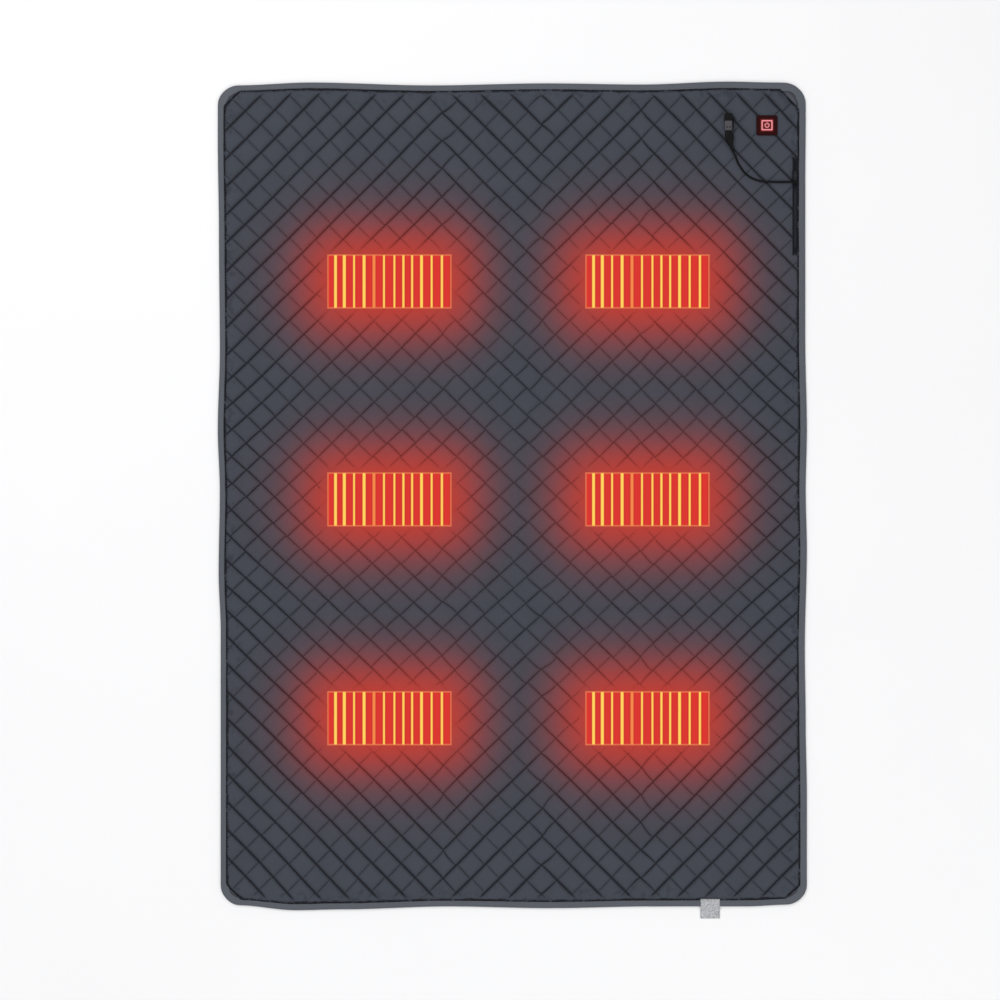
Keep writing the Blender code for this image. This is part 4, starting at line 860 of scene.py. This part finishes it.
class Shader:
    """A material with a Principled shader, and short calls for its nodes."""

    def __init__(self, name, colour, roughness, metallic=0.0, sheen=0.0, coat=0.0, shine=0.5):
        self.material = bpy.data.materials.new(name)
        self.material.use_nodes = True
        self.tree = self.material.node_tree
        self.shader = self.tree.nodes["Principled BSDF"]
        self.base = self.shader.inputs["Base Color"]
        self.material.diffuse_color = self.base.default_value = (*colour, 1.0)
        for socket, value in (("Roughness", roughness), ("Metallic", metallic),
                              ("Sheen Weight", sheen), ("Coat Weight", coat),
                              ("Specular IOR Level", shine)):
            self.shader.inputs[socket].default_value = value

    def light_up(self, colour, strength):
        self.join(colour, self.shader.inputs["Emission Color"])
        self.shader.inputs["Emission Strength"].default_value = strength

    def node(self, kind, inputs=(), output=None, **settings):
        """Adds a node with its inputs, and gives back the node or one of its outputs."""
        made = self.tree.nodes.new("ShaderNode" + kind)
        for key, value in settings.items():
            setattr(made, key, value)
        for key, value in dict(inputs).items():
            self.join(value, made.inputs[key])
        return made if output is None else made.outputs[output]

    def join(self, value, socket):
        """Links an output to an input, or sets the input. Colours are three numbers."""
        if isinstance(value, bpy.types.NodeSocket):
            self.tree.links.new(value, socket)
        else:
            socket.default_value = (*value, 1.0) if socket.type == "RGBA" else value

    def math(self, operation, *values, clamp=False):
        return self.node("Math", enumerate(values), 0, operation=operation, use_clamp=clamp)

    def mul(self, a, b):
        return self.math("MULTIPLY", a, b)

    def add(self, a, b):
        return self.math("ADD", a, b)

    def sub(self, a, b):
        return self.math("SUBTRACT", a, b)

    def mul_add(self, a, b, c):
        return self.math("MULTIPLY_ADD", a, b, c)

    def most(self, a, b):
        return self.math("MAXIMUM", a, b)

    def size(self, value):
        return self.math("ABSOLUTE", value)

    def ease(self, value, low, high):
        """0 at low and 1 at high, with a smooth turn."""
        inputs = {"Value": value, "From Min": low, "From Max": high}
        return self.node("MapRange", inputs, "Result", interpolation_type="SMOOTHSTEP")

    def mix(self, share, a, b):
        return self.node("Mix", {0: share, 6: a, 7: b}, 2, data_type="RGBA")

    def vary(self, share, colour, spread):
        """A colour that goes from darker to lighter by this spread."""
        return self.mix(share, *(tuple(c * v for c in colour) for v in (1 - spread, 1 + spread)))

    def tint(self, share, colour):
        """Mixes a colour over the base colour so far."""
        self.join(self.mix(share, self.base.links[0].from_socket, colour), self.base)

    def scale(self, vector, factor):
        return self.node("VectorMath", {0: vector, "Scale": factor}, 0, operation="SCALE")

    def split(self, vector):
        return self.node("SeparateXYZ", {0: vector}).outputs

    def attribute(self, name, output):
        return self.node("Attribute", output=output, attribute_name=name)

    def noise(self, vector, scale, detail=2.0, roughness=0.5):
        inputs = {"Vector": vector, "Scale": scale, "Detail": detail, "Roughness": roughness}
        return self.node("TexNoise", inputs, "Fac")

    def waver(self, vector, scale, detail, size):
        """Noise round zero, this big from end to end."""
        return self.mul(self.sub(self.noise(vector, scale, detail), 0.5), size)

    def own_place(self):
        return self.node("TexCoord", output="Object")

    def uv(self, name):
        return self.node("UVMap", output="UV", uv_map=name)

    def bump(self, height, strength, distance, under=None):
        inputs = {"Strength": strength, "Distance": distance, "Height": height}
        if under:
            inputs["Normal"] = under
        return self.node("Bump", inputs, "Normal")

    def weave(self, vector, threads_per_metre):
        """A plain weave: two sets of threads that pass over each other."""
        inputs = {"Vector": vector, "Scale": threads_per_metre / 20 * math.pi}
        return self.most(*(self.node("TexWave", inputs, "Fac", bands_direction=way)
                           for way in "XY"))

    def finish(self, normal):
        self.join(normal, self.shader.inputs["Normal"])
        return self


def cloth(name, colour, threads, uv=None, span=1.0, sheen=0.05, roughness=0.85, vary=0.10,
          crinkle=0.5, shine=0.2):
    """Woven cloth: colour that varies a little, threads and small crinkles."""
    sh = Shader(name, colour, roughness, sheen=sheen, shine=shine)
    place = sh.scale(sh.uv(uv), span) if uv else sh.own_place()
    share = sh.add(sh.mul(sh.noise(place, 14, 4), 0.6), sh.mul(sh.noise(place, 900, 2), 0.4))
    sh.join(sh.vary(share, colour, 2 * vary), sh.base)
    normal = sh.bump(sh.weave(place, threads), 0.35, 0.25 * MM)
    return sh.finish(sh.bump(sh.noise(place, 140, 3), crinkle, 0.9 * MM, normal))


def plastic(name, colour, roughness, grain, metallic=0.0, coat=0.0, shine=0.3):
    """Moulded plastic, rubber or metal: a fine grain in its surface and small changes of gloss."""
    sh = Shader(name, colour, roughness, metallic=metallic, coat=coat, shine=shine)
    place = sh.own_place()
    worn = sh.noise(place, 60, 4)
    shades = tuple(c * 0.85 for c in colour), tuple(min(1.0, c * 1.15) for c in colour)
    sh.join(sh.mix(worn, *shades), sh.base)
    limits = {"To Min": roughness * 0.8, "To Max": min(1.0, roughness * 1.2)}
    rough = sh.node("MapRange", {"Value": worn, **limits}, "Result")
    sh.join(rough, sh.shader.inputs["Roughness"])
    return sh.finish(sh.bump(sh.noise(place, grain, 3), 0.15, 0.1 * MM))


def pad_offsets(sh, x, y):
    """Offsets from the nearest pad's centre, and half of a pad's width and height."""
    low, high = PADS["left", "top"]
    columns = [sum(v.x for v in PADS[side, "top"]) / 2 for side in ("left", "right")]
    rows = [sum(v.y for v in PADS["left", row]) / 2 for row in ("top", "middle", "bottom")]
    to_right = sh.math("GREATER_THAN", x, sum(columns) / 2)
    centre_x = sh.mul_add(to_right, columns[1] - columns[0], columns[0])
    centre_y = rows[2]
    for i in (2, 1):
        above = sh.math("GREATER_THAN", y, (rows[i - 1] + rows[i]) / 2)
        centre_y = sh.mul_add(above, rows[i - 1] - rows[i], centre_y)
    return sh.sub(x, centre_x), sh.sub(y, centre_y), (high.x - low.x) / 2, (high.y - low.y) / 2


def bar_table(sh, index):
    """Each bar's half width, share of yellow, and shift, read from a ramp by its number."""
    ramp = sh.node("ValToRGB")
    stops = ramp.color_ramp.elements
    ramp.color_ramp.interpolation = "CONSTANT"
    while len(stops) > 1:
        stops.remove(stops[-1])
    count = len(BAR_WIDTHS)
    for i, (width, shift) in enumerate(zip(BAR_WIDTHS, BAR_SHIFTS)):
        stop = stops[0] if i == 0 else stops.new(i / count)
        stop.position = i / count
        bright = 0.0 if i == DIM_BAR else 1.0
        stop.color = (width / BAR_RANGE, bright, 0.5 + shift / BAR_RANGE, 1)
    sh.join(sh.math("DIVIDE", sh.add(index, 0.5), count), ramp.inputs["Fac"])
    parts = sh.node("SeparateColor", {0: ramp.outputs["Color"]})
    width, bright, shift = parts.outputs[:3]
    return (sh.mul(width, BAR_RANGE * MM / 2), bright,
            sh.mul_add(shift, BAR_RANGE * MM, -BAR_RANGE / 2 * MM))


def painted_glow_colours(sh, x, y, crease_shade):
    """The pads' painted glow through the cloth: the share of glow, where a pad is, and the colour.
    """
    off_x, off_y, half_x, half_y = pad_offsets(sh, x, y)
    past_x, past_y = [sh.sub(sh.size(off), half)
                      for off, half in ((off_x, half_x), (off_y, half_y))]
    spread = []
    for past in (past_x, past_y):
        slope = sh.mul_add(past, GLOW_FALL / GLOW_BLUR, -GLOW_FALL * GLOW_EDGE / GLOW_BLUR)
        spread.append(sh.math("DIVIDE", 1.0, sh.add(1.0, sh.math("EXPONENT", slope))))
    glow = sh.mul(*spread)
    nearest = sh.most(past_x, past_y)
    inside = sh.math("LESS_THAN", nearest, 0.0)
    frame_line = sh.ease(sh.size(nearest), 1.9 * MM, 0.5 * MM)

    steps = sh.mul_add(off_x, 1 / BAR_PITCH, (half_x - FIRST_BAR) / BAR_PITCH + 0.5)
    index = sh.math("FLOOR", steps)
    local = sh.mul(sh.sub(sh.math("FRACT", steps), 0.5), BAR_PITCH)
    half_width, bright, shift = bar_table(sh, index)
    edge = sh.sub(sh.size(sh.sub(local, shift)), half_width)
    on_bar = sh.mul(sh.math("GREATER_THAN", index, -0.5),
                    sh.math("LESS_THAN", index, len(BAR_WIDTHS) - 0.5))
    bar = sh.mul(sh.ease(edge, 0.9 * MM, -0.3 * MM), on_bar)
    bar = sh.mul(bar, sh.ease(past_y, 0.4 * MM, -0.8 * MM))
    core = sh.ease(edge, 0.1 * MM, -1.1 * MM)

    # Painted shade: the red of the glow is darker next to each bar
    red = sh.mix(sh.ease(edge, 0.0, 3.2 * MM), tuple(c * 0.72 for c in PAD_GLOW_RED), PAD_GLOW_RED)
    # The painted glow is dimmer where the painted crease shade falls
    lit = sh.scale(GLOW_RED, sh.mul(glow, sh.mul_add(crease_shade, -0.42, 1.0)))
    colour = sh.mix(inside, lit, red)
    colour = sh.mix(frame_line, colour, FRAME_ORANGE)
    yellow = sh.mix(sh.mul(bright, core), BAR_ORANGE, BAR_YELLOW)
    return glow, inside, sh.mix(bar, colour, yellow)


def quilt_material():
    """Quilted cloth with painted shade in its creases, and the painted glow of the heating pads
    through it.
    """
    sh = Shader("quilted_cloth", QUILT_GREY, 0.82, shine=0.2)
    x, y = [sh.mul_add(part, MAP_SPAN, -MAP_SPAN / 2) for part in sh.split(sh.uv("panel"))[:2]]
    place = sh.node("CombineXYZ", {0: x, 1: y}, 0)
    lines = sh.split(sh.attribute("lines", "Vector"))
    weights = sh.split(sh.attribute("weights", "Vector"))
    inset = lines[2]

    # Painted shade: each quilting line is darker along its crease, more where the crease is deeper
    shades = []
    rough_edge = sh.waver(place, 220, 3, 1.6 * MM)
    for line, weight in zip(lines[:2], weights):
        gap = sh.add(line, rough_edge)
        core = sh.ease(gap, 2.5 * MM, 0.4 * MM)
        soft = sh.mul(sh.ease(gap, 6.5 * MM, 0.5 * MM), 0.30)
        shades.append(sh.mul(sh.most(core, soft), sh.math("POWER", weight, 1.4)))
    # Painted shadow in the groove beside the binding, broken up unevenly
    groove = sh.ease(sh.add(inset, sh.waver(place, 75, 2, 5.5 * MM)), 5.4 * MM, 2.6 * MM)
    broken = sh.mul_add(sh.ease(sh.noise(place, 42, 3), 0.42, 0.56), 0.62, 0.38)
    # Painted shade of the puckers near the binding
    pucker_shade = sh.mul(sh.ease(inset, PUCKER_REACH, 4 * MM), 0.42)
    pucker_shade = sh.mul(sh.ease(sh.noise(place, 55, 2), 0.50, 0.72), pucker_shade)
    edges = sh.most(sh.mul(groove, broken), pucker_shade)
    crease_shade = sh.math("MAXIMUM", sh.most(*shades), edges, clamp=True)

    share = sh.add(sh.mul(sh.noise(place, 17, 4), 0.62), sh.mul(sh.noise(place, 1100, 2), 0.38))
    colour = sh.vary(share, QUILT_GREY, 0.20)
    # The painted shade of the creases, the groove and the puckers darkens the cloth's colour
    colour = sh.mix(sh.mul(crease_shade, 0.86), colour, PAINTED_CREASE_SHADE)
    glow, inside, light = painted_glow_colours(sh, x, y, crease_shade)
    if HEAT:
        # The painted glow covers the cloth: its base colour goes dark where it glows
        kept = sh.most(sh.mul(glow, 0.97), sh.mul(inside, 0.95))
        colour = sh.mix(kept, colour, PAINTED_GLOW_BASE)
        sh.light_up(light, HEAT)
    sh.join(colour, sh.base)
    normal = sh.bump(sh.weave(place, 1400), 0.25, 0.2 * MM)
    return sh.finish(sh.bump(sh.noise(place, 130, 3, 0.6), 0.45, 0.8 * MM, normal)).material


def binding_material():
    """Satin tape, tucked where the seam cuts the corners, with painted shade over the tucks."""
    sh = cloth("binding_satin", (0.073, 0.081, 0.099), 1100, uv="tape", span=TAPE_SPAN,
               roughness=0.55, vary=0.08, crinkle=0.6, shine=0.35)
    depth = sh.add(sh.attribute("depth", "Fac"), sh.waver(sh.uv("tape"), 260, 3, 5 * MM))
    # Painted shade where the binding is tucked at the cut corners, darkest deep in them
    corner_shade = sh.ease(depth, 12.6 * MM, 14.2 * MM)
    sh.tint(corner_shade, (0.050, 0.056, 0.071))
    sh.tint(sh.mul(sh.mul(corner_shade, sh.ease(depth, 19 * MM, 14.6 * MM)), 0.75), (0.010, 0.011, 0.016))
    return sh.material


def label_material():
    """Pale satin with a grey mottle in place of print."""
    sh = cloth("label_satin", (0.47, 0.48, 0.50), 2200, sheen=0.1, roughness=0.6, vary=0.05)
    faded = sh.ease(sh.noise(sh.own_place(), 420, 3, 0.7), 0.46, 0.62)
    sh.tint(sh.mul(faded, 0.7), (0.13, 0.135, 0.15))
    return sh.material


# Colour, roughness and grain of each hard material, and what else it needs
HARD = {
    "soft_rubber": ((0.0025, 0.0025, 0.003), 0.5, 2600, {"shine": 0.12}),
    "case_plastic": ((0.021, 0.0016, 0.0018), 0.55, 3000, {"shine": 0.06}),
    "button_face": ((0.026, 0.002, 0.003), 0.35, 3000, {"shine": 0.15}),
    "icon_lens": ((0.44, 0.13, 0.15), 0.4, 3000, {}),
    "black_metal": ((0.022, 0.023, 0.027), 0.38, 1800, {"metallic": 0.6}),
    # The plug's steel, its colour darkened as a painted stand-in for the dark reflection it shows
    "dark_steel": ((0.11, 0.105, 0.115), 0.3, 1500, {"metallic": 1.0}),
    "gold_plate": ((0.83, 0.58, 0.22), 0.25, 1500, {"metallic": 1.0}),
    "black_plastic": ((0.025, 0.025, 0.027), 0.5, 2600, {}),
    "solder_mask": ((0.015, 0.13, 0.05), 0.4, 2000, {"coat": 0.4}),
    "led_epoxy": ((0.85, 0.12, 0.08), 0.15, 1500, {"coat": 0.5}),
    "ribbon_sleeve": ((0.11, 0.11, 0.12), 0.6, 2000, {}),
    "zip_nylon": ((0.005, 0.006, 0.009), 0.4, 2500, {"shine": 0.2}),
}
# Colour and strength of what is lit from behind
LIT = {"button_face": ((0.10, 0.008, 0.006), 0.7), "icon_lens": ((0.80, 0.25, 0.27), 0.52)}
# Colour, threads per metre and crinkle of each plain cloth or film
SOFT = {
    "dark_thread": ((0.006, 0.007, 0.011), 3000, {"crinkle": 0.1, "shine": 0.1}),
    "zip_weave": ((0.007, 0.008, 0.014), 1600, {"crinkle": 0.2, "shine": 0.15}),
    "heater_film": ((0.50, 0.11, 0.06), 700, {"crinkle": 0.2}),
    "carbon_print": ((0.85, 0.48, 0.11), 1500, {"crinkle": 0.2}),
    "lining_fleece": ((0.060, 0.064, 0.075), 800, {}),
    "back_weave": ((0.050, 0.056, 0.070), 900, {"uv": "panel", "span": MAP_SPAN}),
}
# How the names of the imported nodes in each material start
NODE_LOOKS = {
    "heater_film": "pad_film", "carbon_print": "carbon_grid",
    "ribbon_sleeve": "harness_left harness_right", "solder_mask": "controller_board",
    "black_plastic": "harness_connector tact_switch switch_plunger usb_tongue",
    "case_plastic": "controller_bezel controller_base", "led_epoxy": "indicator_led",
    "button_face": "power_button", "icon_lens": "icon_", "gold_plate": "usb_contacts",
    "black_metal": "zip_top_stop zip_bottom_stop zip_slider zip_pull_tab",
    "lining_fleece": "pocket_lining", "soft_rubber": "supply_lead cord_grommet usb_cap cap_tether",
}


def make_materials():
    made = {"quilted_cloth": quilt_material(), "binding_satin": binding_material(),
            "label_satin": label_material()}
    for name, (colour, roughness, grain, more) in HARD.items():
        sh = plastic(name, colour, roughness, grain, **more)
        if name in LIT:
            light, strength = LIT[name]
            sh.light_up(light, strength * HEAT)
        made[name] = sh.material
    for name, (colour, threads, more) in SOFT.items():
        made[name] = cloth(name, colour, threads, **more).material
    for name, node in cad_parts.items():
        for look, starts in NODE_LOOKS.items():
            if name.startswith(tuple(starts.split())):
                node.data.materials.clear()
                node.data.materials.append(made[look])
    return made


# Studio


def make_studio():
    sh = Shader("pale_floor", (0.86, 0.86, 0.87), 0.9)
    sh.join(sh.mix(sh.noise(sh.own_place(), 3, 2), (0.85, 0.85, 0.86), (0.87, 0.87, 0.88)), sh.base)
    corners = [(x * FLOOR_HALF, y * FLOOR_HALF, 0) for x, y in ((-1, -1), (1, -1), (1, 1), (-1, 1))]
    floor = mesh_object("studio_floor", corners, [(0, 1, 2, 3)], sh.material, flat=True)
    world = bpy.data.worlds.new("studio")
    bpy.context.scene.world = world
    world.use_nodes = True
    backdrop = world.node_tree.nodes["Background"]
    backdrop.inputs["Color"].default_value = (1.0, 1.0, 1.0, 1.0)
    backdrop.inputs["Strength"].default_value = 0.75
    for name, place, size, power in (("key", (-1.6, 2.2, 3.2), 2.0, 55),
                                     ("fill", (2.4, -1.6, 3.0), 2.4, 22),
                                     ("front", (-0.4, -3.0, 2.4), 2.0, 16)):
        light = bpy.data.lights.new(name, "AREA")
        light.shape = "DISK"
        light.size = size
        light.energy = power
        obj = link(name, light)
        obj.location = place
        obj.rotation_euler = (-Vector(place)).to_track_quat("-Z", "Y").to_euler()


def make_camera():
    data = bpy.data.cameras.new("view")
    data.lens = CAMERA_LENS
    data.sensor_width = 36
    data.clip_end = 50
    camera = link("view", data)
    camera.location = CAMERA_PLACE
    bpy.context.scene.camera = camera


def bend(obj, slot, *nodes):
    """Cloth that crosses the fold."""
    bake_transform(obj)
    if nodes:
        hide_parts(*nodes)


def main():
    make_camera()
    looks = make_materials()
    lead, tip = make_cord(looks["soft_rubber"])
    plug = make_plug(looks["soft_rubber"])
    shell = make_shell(looks["dark_steel"])
    make_studio()
    quilt = make_quilt(looks["quilted_cloth"])
    bend(quilt, "quilted_cloth", "face_cover_left", "face_cover_right", "wadding_left",
         "wadding_right")
    bend(make_quilting(looks["dark_thread"]), "quilted_cloth")
    back = make_back(looks["back_weave"])
    bend(back, "back_cloth", "back_cover_left", "back_cover_right", "lining_left", "lining_right")
    tape = make_binding(looks["binding_satin"])
    bend(tape, "binding_tape", "edge_binding_left", "edge_binding_right")
    bend(make_edge_seam(looks["dark_thread"]), "binding_tape")
    make_zip(looks["zip_weave"], looks["zip_nylon"])
    make_label(looks["label_satin"], looks["dark_thread"])


bpy.context.scene.view_settings.view_transform = "Standard"
main()
bpy.context.view_layer.update()
